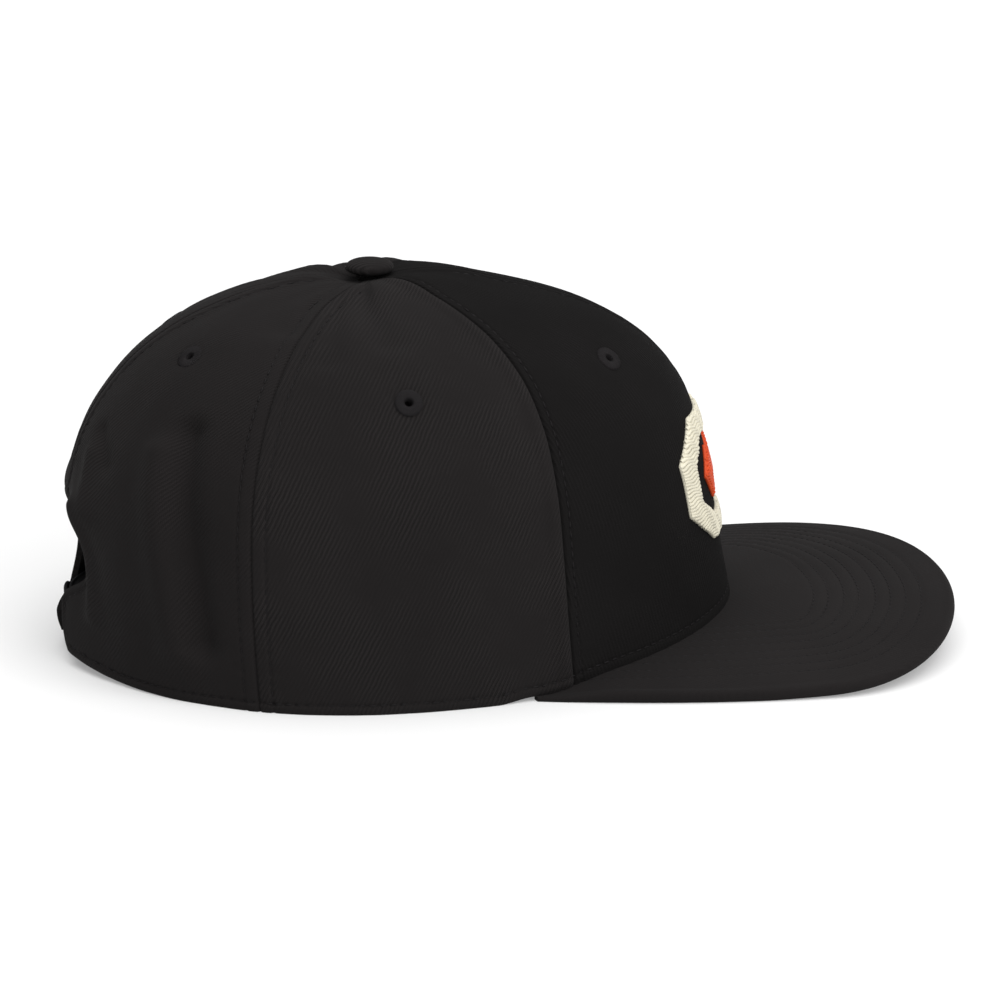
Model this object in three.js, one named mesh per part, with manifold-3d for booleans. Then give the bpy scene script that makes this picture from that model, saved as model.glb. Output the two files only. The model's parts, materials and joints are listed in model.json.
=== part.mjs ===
// A snapback cap: six-panel cloth crown, flat peak, covered button, sewn eyelets,
// a plastic snap strap across the rear arch and a raised embroidered badge.
// Millimetres, +Z up. The wearer faces -Y, so the wearer's right is -X.
// The rim and the two sides of the peak rest on z = 0.
import * as THREE from 'three';
import { mergeVertices } from 'three/addons/utils/BufferGeometryUtils.js';
import Module from 'manifold-3d';

const wasm = await Module();
wasm.setup();

// Crown
const CROWN_HEIGHT = 118;
const CROWN_HALF_WIDTH = 77;
const CROWN_FRONT_REACH = 114.5; // from the button forward to the rim
const CROWN_REAR_REACH = 90.5;
const CLOTH = 1.8; // wall of the crown panels
const SEAM_GAP = 0.3; // between neighbouring pieces
const FRONT_SEAM_ANGLE = 63; // around the button, degrees from straight ahead
const REAR_SEAM_ANGLE = 118.5;
const TOP_WALK = 0.992; // the panels stop just short of the middle, under the button
const LIFT_FADE = 0.6; // share of the height over which the rise of the rim dies out

// From the rim (walk 0) to the button (walk 1). Height is a share of the crown height,
// front and rear are shares of the two reaches, side is a share of the half width.
const CROWN_SECTIONS = [
  { walk: 0.0, height: 0.0, front: 1.0, rear: 0.98, side: 1.0 },
  { walk: 0.12, height: 0.16, front: 0.972, rear: 1.006, side: 0.995 },
  { walk: 0.26, height: 0.34, front: 0.945, rear: 1.02, side: 0.985 },
  { walk: 0.42, height: 0.52, front: 0.913, rear: 0.998, side: 0.945 },
  { walk: 0.58, height: 0.68, front: 0.855, rear: 0.905, side: 0.85 },
  { walk: 0.72, height: 0.81, front: 0.735, rear: 0.75, side: 0.707 },
  { walk: 0.83, height: 0.9, front: 0.56, rear: 0.56, side: 0.54 },
  { walk: 0.91, height: 0.955, front: 0.36, rear: 0.35, side: 0.35 },
  { walk: 0.965, height: 0.989, front: 0.19, rear: 0.135, side: 0.19 },
  { walk: 1.0, height: 0.993, front: 0.0, rear: 0.0, side: 0.0 },
];

// Soft hollows in the unstiffened panels: where (degrees round, walk), how wide, how deep.
// A negative depth is a bulge.
const FOLDS = [
  { angle: 129, walk: 0.3, across: 7, along: 0.24, depth: 2.2 },
  { angle: 99, walk: 0.42, across: 9, along: 0.2, depth: 0.9 },
  { angle: 158, walk: 0.56, across: 8, along: 0.12, depth: 1.2 },
  { angle: -133, walk: 0.34, across: 8, along: 0.22, depth: 1.8 },
  { angle: -95, walk: 0.36, across: 10, along: 0.2, depth: 1.0 },
  { angle: 167, walk: 0.2, across: 9, along: 0.11, depth: 3.0 },
  { angle: -167, walk: 0.2, across: 9, along: 0.11, depth: 3.0 },
  { angle: 166, walk: 0.335, across: 8, along: 0.06, depth: -2.4 },
  { angle: -166, walk: 0.335, across: 8, along: 0.06, depth: -2.4 },
];

// Arch at the back, and the tabs of cloth beside it, which the fastened strap pushes out and up
const ARCH_HALF_WIDTH = 18;
const ARCH_HEIGHT = 50.5;
const ARCH_SQUARENESS = 2.8; // 2 is a half ellipse, more is squarer
const TAB_FLARE = 7.5;
const TAB_LIFT = 4.2;
const TAB_SPREAD = 22; // degrees from the rear centre
const TAB_RISE = 0.17; // walk over which the flare dies out

// Peak
const PEAK_TIP_REACH = 184.5; // from the button forward to the tip
const PEAK_HALF_WIDTH = 86;
const PEAK_SQUARENESS = 2.2; // of the tip: 2 is an ellipse, more is squarer
const PEAK_WIDEST_REACH = 126; // where the sides start to turn in to the tip
const PEAK_CORNER_REACH = 40; // where the sides tuck in under the crown
const PEAK_THICKNESS = 3.8;
const PEAK_CORNER_THICKNESS = 1.4;
const PEAK_TAPER = 26; // length over which the corner thickens
const PEAK_ARCH = 8.2; // rise of the middle over the sides
const PEAK_TILT = 2.3; // degrees, tip up
const RIM_STEP = 13; // length over which the rim climbs on to the corner

// Button and eyelets
const BUTTON_RADIUS = 7.4;
const BUTTON_HEIGHT = 3.6;
const BUTTON_FORWARD = 1.6; // it sits a little ahead of where the seams meet
const SHANK_RADIUS = 1.8;
const SHANK_LENGTH = 4;
const EYELET_RADIUS = 4.2;
const EYELET_HOLE_RADIUS = 1.1;
const EYELET_BARREL = 0.6; // wall of the thread that lines the hole
const EYELET_RISE = 0.9;
const EYELETS = [
  { name: 'front', angle: 36.5, walk: 0.705 },
  { name: 'side', angle: 87.5, walk: 0.665 },
  { name: 'rear', angle: 151, walk: 0.745 },
];

// Snap strap
const STRAP_HEIGHT = 18;
const STRAP_BOTTOM = 2.8;
const STRAP_THICKNESS = 1.3;
const STRAP_ROOT_ANGLE = 38; // degrees from the rear centre
const STRAP_SLACK = 2; // room between the strap and the inside of the tabs
const STRAP_BULGE = 2.6; // how far the middle springs out between the tabs
const STRAP_OVERLAP = 12; // each half runs this far past the centre
const SNAP_PITCH = 7;
const SNAP_PEG_RADIUS = 1.7;
const SNAP_CLEARANCE = 0.35;
const SNAPS_CLOSED = 3;
const SNAPS_SPARE = 1;

// Embroidered badge
const BADGE_HALF_WIDTH = 38;
const BADGE_HALF_HEIGHT = 22.5;
const BADGE_CENTRE = 49; // above the rim, along the front
const BADGE_BAND = 7.5;
const BADGE_CUT = 13; // of the four corners
const BADGE_RISE = 1.1;
const DIAMONDS = [
  { name: 'right', across: -17, halfWidth: 6.5, halfHeight: 10 },
  { name: 'middle', across: 0, halfWidth: 8, halfHeight: 12.5 },
  { name: 'left', across: 17, halfWidth: 6.5, halfHeight: 10 },
];

// Facets
const PANEL_COLUMNS = 10;
const PANEL_ROWS = 18;
const PEAK_STATIONS = 40;
const STRAP_STATIONS = 26;

const FRONT_CLOTH = { color: 0x1f1d1e, roughness: 0.9, metalness: 0 };
const SOFT_CLOTH = { color: 0x262325, roughness: 0.92, metalness: 0 };
const PEAK_CLOTH = { color: 0x2b292a, roughness: 0.88, metalness: 0 };
const THREAD = { color: 0x1c1a1b, roughness: 0.75, metalness: 0 };
const PLASTIC = { color: 0x121213, roughness: 0.45, metalness: 0 };
const CREAM_THREAD = { color: 0xe4dfcc, roughness: 0.7, metalness: 0 };
const ORANGE_THREAD = { color: 0xe05a2c, roughness: 0.7, metalness: 0 };

const radians = (degrees) => (degrees * Math.PI) / 180;
const smooth = (from, to, value) => THREE.MathUtils.smoothstep(value, from, to);

// A smooth curve through one column of a table of rows.
function column(rows, name, at) {
  const place = THREE.MathUtils.clamp(at, 0, 1);
  let i = 0;
  while (i < rows.length - 2 && place > rows[i + 1].walk) i += 1;
  const step = (k) => rows[k + 1].walk - rows[k].walk;
  const rate = (k) => (rows[k + 1][name] - rows[k][name]) / step(k);
  const slope = (k) => {
    if (k === 0) return rate(0);
    if (k === rows.length - 1) return rate(k - 1);
    return (rate(k - 1) * step(k) + rate(k) * step(k - 1)) / (step(k - 1) + step(k));
  };
  const t = (place - rows[i].walk) / step(i);
  const start = (2 * t ** 3 - 3 * t ** 2 + 1) * rows[i][name];
  const end = (3 * t ** 2 - 2 * t ** 3) * rows[i + 1][name];
  const leave = (t ** 3 - 2 * t ** 2 + t) * step(i) * slope(i);
  const arrive = (t ** 3 - t ** 2) * step(i) * slope(i + 1);
  return start + end + leave + arrive;
}

// The underside of the peak: arched across, tipped up a little, never below the table.
function peakBottom(x, forward) {
  const arch = PEAK_ARCH * (1 - (x / PEAK_HALF_WIDTH) ** 2);
  const tilt = Math.tan(radians(PEAK_TILT)) * (forward - CROWN_FRONT_REACH);
  return Math.max(0, arch + tilt);
}

function peakThickness(forward) {
  const grown = smooth(PEAK_CORNER_REACH, PEAK_CORNER_REACH + PEAK_TAPER, forward);
  return PEAK_CORNER_THICKNESS + (PEAK_THICKNESS - PEAK_CORNER_THICKNESS) * grown;
}

const peakTop = (x, forward) => peakBottom(x, forward) + peakThickness(forward);

function foldDepth(angle, walk) {
  return FOLDS.reduce((sum, fold) => {
    const round = (angle - radians(fold.angle)) / radians(fold.across);
    const up = (walk - fold.walk) / fold.along;
    return sum + fold.depth * Math.exp(-round * round - up * up);
  }, 0);
}

// How strongly the strap pushes the cloth: 1 at the rear centre of the rim, 0 away from it.
function tabShare(angle, walk) {
  const round = (Math.PI - Math.abs(angle)) / radians(TAB_SPREAD);
  return Math.exp(-round * round - (walk / TAB_RISE) ** 2);
}

// A point of the crown. Angle 0 is straight ahead and 90 the wearer's right;
// inset goes in through the wall from the outer face.
function crownPoint(angle, walk, inset) {
  const tab = tabShare(angle, walk);
  const deep = inset + foldDepth(angle, walk) - TAB_FLARE * tab;
  const ahead = Math.cos(angle);
  const frontReach = (CROWN_FRONT_REACH - deep) * column(CROWN_SECTIONS, 'front', walk);
  const rearReach = (CROWN_REAR_REACH - deep) * column(CROWN_SECTIONS, 'rear', walk);
  const x = -(CROWN_HALF_WIDTH - deep) * column(CROWN_SECTIONS, 'side', walk) * Math.sin(angle);
  const y = -(ahead > 0 ? frontReach : rearReach) * ahead;
  const share = column(CROWN_SECTIONS, 'height', walk);
  const rimX = (CROWN_HALF_WIDTH - deep) * Math.sin(angle);
  const rimForward = (CROWN_FRONT_REACH - deep) * Math.max(ahead, 0);
  const onPeak = smooth(PEAK_CORNER_REACH - RIM_STEP, PEAK_CORNER_REACH - 1, rimForward);
  const lift = onPeak * (peakTop(rimX, rimForward) + SEAM_GAP) * Math.max(0, 1 - share / LIFT_FADE);
  return new THREE.Vector3(x, y, (CROWN_HEIGHT - inset) * share + lift + TAB_LIFT * tab);
}

function crownNormal(angle, walk) {
  const step = 0.01;
  const round = crownPoint(angle + step, walk, 0).sub(crownPoint(angle - step, walk, 0));
  const up = crownPoint(angle, walk + step, 0).sub(crownPoint(angle, walk - step, 0));
  return up.cross(round).normalize();
}

// The walk at which the crown stands a given height over its rim.
function walkAtHeight(height) {
  let low = 0;
  let high = 1;
  for (let i = 0; i < 30; i += 1) {
    const middle = (low + high) / 2;
    if (CROWN_HEIGHT * column(CROWN_SECTIONS, 'height', middle) < height) low = middle;
    else high = middle;
  }
  return low;
}

// A point over the front of the crown, from its distance across and its height up the front.
function frontPoint(across, up, inset) {
  const walk = walkAtHeight(up);
  const width = CROWN_HALF_WIDTH * column(CROWN_SECTIONS, 'side', walk);
  return crownPoint(Math.asin(THREE.MathUtils.clamp(-across / width, -1, 1)), walk, inset);
}

// A solid skinned over a row of loops. Each loop runs along one face and back along the other.
// The two ends are capped, unless the loops go round and meet.
function solidFromLoops(loops, meets = false) {
  const size = loops[0].length;
  const positions = loops.flat().flatMap((point) => point.toArray());
  const index = [];
  const quad = (a, b, c, d) => index.push(a, b, c, a, c, d);
  const spans = meets ? loops.length : loops.length - 1;
  for (let i = 0; i < spans; i += 1) {
    const near = i * size;
    const far = ((i + 1) % loops.length) * size;
    for (let j = 0; j < size; j += 1) {
      const next = (j + 1) % size;
      quad(near + j, near + next, far + next, far + j);
    }
  }
  const last = (loops.length - 1) * size;
  for (let j = 0; !meets && j < size / 2 - 1; j += 1) {
    const back = size - 1 - j;
    quad(j, back, back - 1, j + 1);
    quad(last + j, last + j + 1, last + back - 1, last + back);
  }
  const geometry = new THREE.BufferGeometry();
  geometry.setAttribute('position', new THREE.Float32BufferAttribute(positions, 3));
  geometry.setIndex(index);
  return outward(geometry);
}

// Turns the faces round where they look inwards.
function outward(geometry) {
  const at = geometry.attributes.position;
  const index = Array.from(geometry.index.array);
  const corner = (k) => new THREE.Vector3().fromBufferAttribute(at, index[k]);
  let volume = 0;
  for (let k = 0; k < index.length; k += 3) {
    volume += corner(k).dot(corner(k + 1).cross(corner(k + 2)));
  }
  if (volume < 0) geometry.setIndex(index.reverse());
  return geometry;
}

function toManifold(geometry) {
  const bare = geometry.clone();
  bare.deleteAttribute('normal');
  bare.deleteAttribute('uv');
  const welded = mergeVertices(bare, 1e-4);
  const vertProperties = new Float32Array(welded.attributes.position.array);
  const triVerts = new Uint32Array(welded.index.array);
  return new wasm.Manifold(new wasm.Mesh({ numProp: 3, vertProperties, triVerts }));
}

function fromManifold(solid) {
  const mesh = solid.getMesh();
  const geometry = new THREE.BufferGeometry();
  geometry.setAttribute('position', new THREE.Float32BufferAttribute(mesh.vertProperties, 3));
  geometry.setIndex(Array.from(mesh.triVerts));
  return geometry;
}

const subtract = (body, cutters) =>
  fromManifold(cutters.reduce((solid, cutter) => solid.subtract(toManifold(cutter)), toManifold(body)));
const join = (body, extras) =>
  fromManifold(extras.reduce((solid, extra) => solid.add(toManifold(extra)), toManifold(body)));

// Turns a geometry's own +Y to a direction and moves it to a point.
function aim(geometry, direction, point) {
  const turn = new THREE.Quaternion().setFromUnitVectors(new THREE.Vector3(0, 1, 0), direction);
  geometry.applyQuaternion(turn);
  geometry.translate(point.x, point.y, point.z);
  return geometry;
}

// One crown panel between two seams, both angles in degrees, with half a gap left at each seam.
function panel(fromAngle, toAngle) {
  const halfGap = (angle, walk) => {
    const step = 0.01;
    const run = crownPoint(angle + step, walk, CLOTH).distanceTo(crownPoint(angle - step, walk, CLOTH));
    return (SEAM_GAP / run) * step;
  };
  const loops = [];
  for (let row = 0; row <= PANEL_ROWS; row += 1) {
    const walk = (Math.min(TOP_WALK, 0.999) * row) / PANEL_ROWS;
    const from = radians(fromAngle) + halfGap(radians(fromAngle), walk);
    const to = radians(toAngle) - halfGap(radians(toAngle), walk);
    const outer = [];
    const inner = [];
    for (let i = 0; i <= PANEL_COLUMNS; i += 1) {
      const angle = from + ((to - from) * i) / PANEL_COLUMNS;
      outer.push(crownPoint(angle, walk, 0));
      inner.unshift(crownPoint(angle, walk, CLOTH));
    }
    loops.push([...outer, ...inner]);
  }
  return solidFromLoops(loops);
}

function eyeletHole(angle, walk) {
  const radius = EYELET_HOLE_RADIUS + EYELET_BARREL + SEAM_GAP;
  const hole = new THREE.CylinderGeometry(radius, radius, 8 * CLOTH, 12);
  return aim(hole, crownNormal(angle, walk), crownPoint(angle, walk, CLOTH / 2));
}

// Thread ring round an eyelet: a domed flange on the cloth and a barrel through the hole.
function eyelet(angle, walk) {
  const bore = EYELET_HOLE_RADIUS;
  const barrel = bore + EYELET_BARREL;
  const low = SEAM_GAP;
  const profile = [
    [bore, -CLOTH],
    [barrel, -CLOTH],
    [barrel, low],
    [EYELET_RADIUS, low],
    [EYELET_RADIUS - 0.15, low + 0.55 * EYELET_RISE],
    [EYELET_RADIUS - 0.9, low + EYELET_RISE],
    [barrel + 0.3, low + EYELET_RISE],
    [bore, low + 0.4 * EYELET_RISE],
    [bore, -CLOTH],
  ].map(([radius, height]) => new THREE.Vector2(radius, height));
  const ring = new THREE.LatheGeometry(profile, 14);
  return aim(ring, crownNormal(angle, walk), crownPoint(angle, walk, 0));
}

// Cloth-covered button with the shank that holds the panels together.
function button() {
  const low = SEAM_GAP;
  const profile = [
    [0, -SHANK_LENGTH],
    [SHANK_RADIUS, -SHANK_LENGTH],
    [SHANK_RADIUS, low],
    [0.92 * BUTTON_RADIUS, low],
    [BUTTON_RADIUS, low + 0.25 * BUTTON_HEIGHT],
    [0.94 * BUTTON_RADIUS, low + 0.55 * BUTTON_HEIGHT],
    [0.74 * BUTTON_RADIUS, low + 0.84 * BUTTON_HEIGHT],
    [0.4 * BUTTON_RADIUS, low + 0.97 * BUTTON_HEIGHT],
    [0, low + BUTTON_HEIGHT],
  ].map(([radius, height]) => new THREE.Vector2(radius, height));
  const body = new THREE.LatheGeometry(profile, 20);
  body.rotateX(Math.PI / 2);
  body.translate(0, -BUTTON_FORWARD, CROWN_HEIGHT * CROWN_SECTIONS.at(-1).height);
  return body;
}

// Half of the outline of the peak, from the corner at the crown (0) to the tip (1).
function peakEdge(along) {
  const turn = 0.42;
  const cornerX = CROWN_HALF_WIDTH * Math.sqrt(1 - (PEAK_CORNER_REACH / CROWN_FRONT_REACH) ** 2) + 1;
  if (along < turn) {
    const back = 1 - along / turn;
    const forward = PEAK_WIDEST_REACH - (PEAK_WIDEST_REACH - PEAK_CORNER_REACH) * back;
    return { x: PEAK_HALF_WIDTH - (PEAK_HALF_WIDTH - cornerX) * back * back, forward };
  }
  const sweep = ((along - turn) / (1 - turn)) * (Math.PI / 2);
  const run = PEAK_TIP_REACH - PEAK_WIDEST_REACH;
  const across = Math.max(0, Math.cos(sweep)) ** (2 / PEAK_SQUARENESS);
  const ahead = Math.sin(sweep) ** (2 / PEAK_SQUARENESS);
  return { x: PEAK_HALF_WIDTH * across, forward: PEAK_WIDEST_REACH + run * ahead };
}

// The peak, section by section from the right corner over the tip to the left one. Its inner
// edge is flush with the inside of the crown, which stands on it.
function peak() {
  const cornerAngle = Math.acos(PEAK_CORNER_REACH / CROWN_FRONT_REACH);
  const shares = [0, 0.08, 0.24, 0.42, 0.6, 0.78, 0.92];
  const rounding = [70, 42, 14, -14, -42, -70];
  const loops = [];
  for (let i = 0; i <= PEAK_STATIONS; i += 1) {
    const place = (2 * i) / PEAK_STATIONS - 1;
    const edge = peakEdge(1 - Math.abs(place));
    const side = Math.sign(place);
    const angle = place * cornerAngle;
    const innerX = (CROWN_HALF_WIDTH - CLOTH) * Math.sin(angle);
    const innerForward = (CROWN_FRONT_REACH - CLOTH) * Math.cos(angle);
    const outerX = side * edge.x;
    const length = Math.hypot(outerX - innerX, edge.forward - innerForward);
    const point = (distance, up) => {
      const x = innerX + ((outerX - innerX) * distance) / length;
      const forward = innerForward + ((edge.forward - innerForward) * distance) / length;
      const middle = peakBottom(x, forward) + peakThickness(forward) / 2;
      return new THREE.Vector3(-x, -forward, middle + (up * peakThickness(forward)) / 2);
    };
    const round = peakThickness(edge.forward) / 2;
    const flat = length - round;
    const top = shares.map((share) => point(share * flat, 1));
    const bottom = shares.map((share) => point(share * flat, -1)).reverse();
    const nose = rounding.map((turn) =>
      point(flat + round * Math.cos(radians(turn)), Math.sin(radians(turn))));
    loops.push([...top, ...nose, ...bottom]);
  }
  return solidFromLoops(loops);
}

// Path of the strap round the back, in plan: it runs inside the flared rim and springs out between
// the tabs. Angle is from the rear centre, + to the wearer's right; layer is out from the middle
// of the two halves.
function strapPoint(angle, layer, height) {
  const archAngle = Math.asin(ARCH_HALF_WIDTH / CROWN_HALF_WIDTH);
  const out = (1 - Math.min(1, Math.abs(angle) / archAngle) ** 2) ** 1.5;
  const rootInset = CLOTH + STRAP_SLACK + STRAP_THICKNESS + SEAM_GAP / 2;
  const inset = rootInset - STRAP_BULGE * out - layer - TAB_FLARE * tabShare(Math.PI - angle, 0);
  const x = -(CROWN_HALF_WIDTH - inset) * Math.sin(angle);
  const reach = CROWN_REAR_REACH * CROWN_SECTIONS[0].rear - inset;
  return new THREE.Vector3(x, reach * Math.cos(angle), height);
}

// The angle at a distance along the strap from the rear centre.
function strapAngle(distance) {
  const step = 0.002;
  let angle = 0;
  let run = 0;
  while (run < Math.abs(distance)) {
    run += strapPoint(angle + step, 0, 0).distanceTo(strapPoint(angle, 0, 0));
    angle += step;
  }
  return Math.sign(distance) * angle;
}

function strapNormal(angle) {
  const step = 0.01;
  const along = strapPoint(angle + step, 0, 0).sub(strapPoint(angle - step, 0, 0));
  return new THREE.Vector3(-along.y, along.x, 0).normalize().multiplyScalar(-Math.sign(along.x));
}

// One half of the strap: a band from its root in the crown to just past the rear centre.
// Side is +1 for the half rooted on the wearer's right; layer is its place in the overlap.
function strapHalf(side, layer) {
  const from = side * radians(STRAP_ROOT_ANGLE);
  const to = -side * strapAngle(STRAP_OVERLAP);
  const half = STRAP_THICKNESS / 2;
  const loops = [];
  for (let i = 0; i <= STRAP_STATIONS; i += 1) {
    const share = i / STRAP_STATIONS;
    const angle = from + (to - from) * share;
    const tongue = smooth(0.93, 1, share) * 0.16 * STRAP_HEIGHT;
    const low = STRAP_BOTTOM + tongue;
    const high = STRAP_BOTTOM + STRAP_HEIGHT - tongue;
    const soft = STRAP_THICKNESS * 0.45;
    const outer = [[low + soft, half], [(low + high) / 2, half], [high - soft, half], [high, 0]];
    const inner = [[high - soft, -half], [(low + high) / 2, -half], [low + soft, -half], [low, 0]];
    loops.push([...outer, ...inner].map(([z, depth]) => strapPoint(angle, layer + depth, z)));
  }
  const turned = loops.map((loop) => [loop[7], ...loop.slice(0, 7)]);
  return solidFromLoops(turned);
}

const strapMiddle = STRAP_BOTTOM + STRAP_HEIGHT / 2;
const layerOffset = (STRAP_THICKNESS + SEAM_GAP) / 2;

// Distances of the snaps along the strap; the spare ones run on towards one root.
function snapDistances(side) {
  const first = -((SNAPS_CLOSED - 1) / 2) * SNAP_PITCH;
  const total = SNAPS_CLOSED + SNAPS_SPARE;
  return Array.from({ length: total }, (_, i) => side * (first + i * SNAP_PITCH));
}

function snapHole(distance) {
  const angle = strapAngle(distance);
  const radius = SNAP_PEG_RADIUS + SNAP_CLEARANCE;
  const hole = new THREE.CylinderGeometry(radius, radius, 4 * STRAP_THICKNESS, 12);
  return aim(hole, strapNormal(angle), strapPoint(angle, layerOffset, strapMiddle));
}

function snapPeg(distance) {
  const angle = strapAngle(distance);
  const base = STRAP_THICKNESS / 2;
  const tip = base + SEAM_GAP + STRAP_THICKNESS + 0.8;
  const profile = [
    [0, 0.5 * base],
    [SNAP_PEG_RADIUS, 0.5 * base],
    [SNAP_PEG_RADIUS, tip - 0.5],
    [0.7 * SNAP_PEG_RADIUS, tip],
    [0, tip],
  ].map(([radius, height]) => new THREE.Vector2(radius, height));
  const peg = new THREE.LatheGeometry(profile, 10);
  return aim(peg, strapNormal(angle), strapPoint(angle, -layerOffset, strapMiddle));
}

// Prism that cuts the arch out of the back.
function archCutter() {
  const outline = new THREE.Shape();
  const steps = 24;
  outline.moveTo(ARCH_HALF_WIDTH, -5);
  for (let i = 0; i <= steps; i += 1) {
    const turn = (Math.PI * i) / steps;
    const across = Math.sign(Math.cos(turn)) * Math.abs(Math.cos(turn)) ** (2 / ARCH_SQUARENESS);
    const up = Math.sin(turn) ** (2 / ARCH_SQUARENESS);
    outline.lineTo(ARCH_HALF_WIDTH * across, ARCH_HEIGHT * up);
  }
  outline.lineTo(-ARCH_HALF_WIDTH, -5);
  const cutter = new THREE.ExtrudeGeometry(outline, { depth: 2 * CROWN_REAR_REACH, bevelEnabled: false });
  cutter.rotateX(Math.PI / 2);
  cutter.translate(0, 2.1 * CROWN_REAR_REACH, 0);
  return cutter;
}

// Corners of a rectangle with its corners cut off, walked round with extra points on the sides.
function cutRectangle(halfWidth, halfHeight, cut) {
  const x = halfWidth;
  const y = halfHeight;
  const corners = [
    [x, -(y - cut)], [x, y - cut], [x - cut, y], [-(x - cut), y],
    [-x, y - cut], [-x, -(y - cut)], [-(x - cut), -y], [x - cut, -y],
  ];
  const splits = [3, 3, 9, 3, 3, 3, 9, 3];
  return corners.flatMap(([cx, cy], i) => {
    const [nx, ny] = corners[(i + 1) % corners.length];
    return Array.from({ length: splits[i] }, (_, k) => {
      const t = k / splits[i];
      return [cx + (nx - cx) * t, cy + (ny - cy) * t];
    });
  });
}

// Border of the badge: a raised band of stitches that follows the two front panels.
function badgeBorder() {
  const outer = cutRectangle(BADGE_HALF_WIDTH, BADGE_HALF_HEIGHT, BADGE_CUT);
  const innerCut = BADGE_CUT - BADGE_BAND * (2 - Math.SQRT2);
  const inner = cutRectangle(BADGE_HALF_WIDTH - BADGE_BAND, BADGE_HALF_HEIGHT - BADGE_BAND, innerCut);
  const lows = [0, 0.12, 0.5, 0.88, 1];
  const loops = outer.map(([ox, oy], i) => {
    const [ix, iy] = inner[i];
    const at = (share, inset) =>
      frontPoint(ox + (ix - ox) * share, BADGE_CENTRE + oy + (iy - oy) * share, inset);
    const face = lows.map((share) => {
      const dome = 0.55 + 0.45 * Math.sin(Math.PI * share);
      return at(share, -SEAM_GAP - BADGE_RISE * dome);
    });
    const back = lows.map((share) => at(share, -SEAM_GAP)).reverse();
    return [...face, ...back];
  });
  return solidFromLoops(loops, true);
}

// A small diamond of raised stitches.
function badgeDiamond({ across, halfWidth, halfHeight }) {
  const loops = [];
  const rows = 8;
  for (let row = 0; row <= rows; row += 1) {
    const up = (2 * row) / rows - 1;
    const width = halfWidth * Math.max(0.04, 1 - Math.abs(up));
    const places = [-1, -0.5, 0, 0.5, 1];
    const at = (place, inset) => frontPoint(across + place * width, BADGE_CENTRE + up * halfHeight, inset);
    const rise = (place) => BADGE_RISE * (0.6 + 0.4 * (1 - Math.abs(up)) * (1 - Math.abs(place)));
    const face = places.map((place) => at(place, -SEAM_GAP - rise(place)));
    const back = places.map((place) => at(place, -SEAM_GAP)).reverse();
    loops.push([...face, ...back]);
  }
  return solidFromLoops(loops);
}

const cap = new THREE.Group();
cap.name = 'snapback_cap';

// The middle of the whole cap, front to back, lies over the origin.
const strapReach = strapPoint(0, layerOffset + STRAP_THICKNESS / 2, 0).y;
const CENTRE_SHIFT = (PEAK_TIP_REACH - strapReach) / 2;

function add(name, geometry, finish) {
  const placed = geometry.index ? geometry : mergeVertices(geometry);
  placed.translate(0, CENTRE_SHIFT, 0);
  const mesh = new THREE.Mesh(placed, new THREE.MeshStandardMaterial(finish));
  mesh.name = name;
  cap.add(mesh);
}

const sides = [{ name: 'right', sign: 1 }, { name: 'left', sign: -1 }];
const panels = [
  { name: 'front', from: 0, to: FRONT_SEAM_ANGLE, finish: FRONT_CLOTH },
  { name: 'side', from: FRONT_SEAM_ANGLE, to: REAR_SEAM_ANGLE, finish: SOFT_CLOTH },
  { name: 'rear', from: REAR_SEAM_ANGLE, to: 180, finish: SOFT_CLOTH },
];
for (const side of sides) {
  panels.forEach(({ name, from, to, finish }, i) => {
    const [start, end] = side.sign > 0 ? [from, to] : [-to, -from];
    const angle = side.sign * radians(EYELETS[i].angle);
    const cutters = [eyeletHole(angle, EYELETS[i].walk)];
    if (name === 'rear') cutters.push(archCutter());
    add(`crown_${name}_${side.name}`, subtract(panel(start, end), cutters), finish);
    add(`eyelet_${name}_${side.name}`, eyelet(angle, EYELETS[i].walk), THREAD);
  });
}
add('peak', peak(), PEAK_CLOTH);
add('crown_button', button(), SOFT_CLOTH);
add('snap_strap_right', subtract(strapHalf(1, layerOffset), snapDistances(1).map(snapHole)), PLASTIC);
add('snap_strap_left', join(strapHalf(-1, -layerOffset), snapDistances(-1).map(snapPeg)), PLASTIC);
add('badge_border', badgeBorder(), CREAM_THREAD);
for (const diamond of DIAMONDS) {
  add(`badge_diamond_${diamond.name}`, badgeDiamond(diamond), ORANGE_THREAD);
}

export default cap;
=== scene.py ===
"""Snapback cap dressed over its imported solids.

Six stitched cloth panels, a flat peak with rings of stitching, a covered button,
sewn eyelets, a plastic snap strap across the rear arch and an embroidered badge.
Sizes are in millimetres until a mesh is made. The wearer faces -Y, +Z is up.
"""
import json
import math

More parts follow.
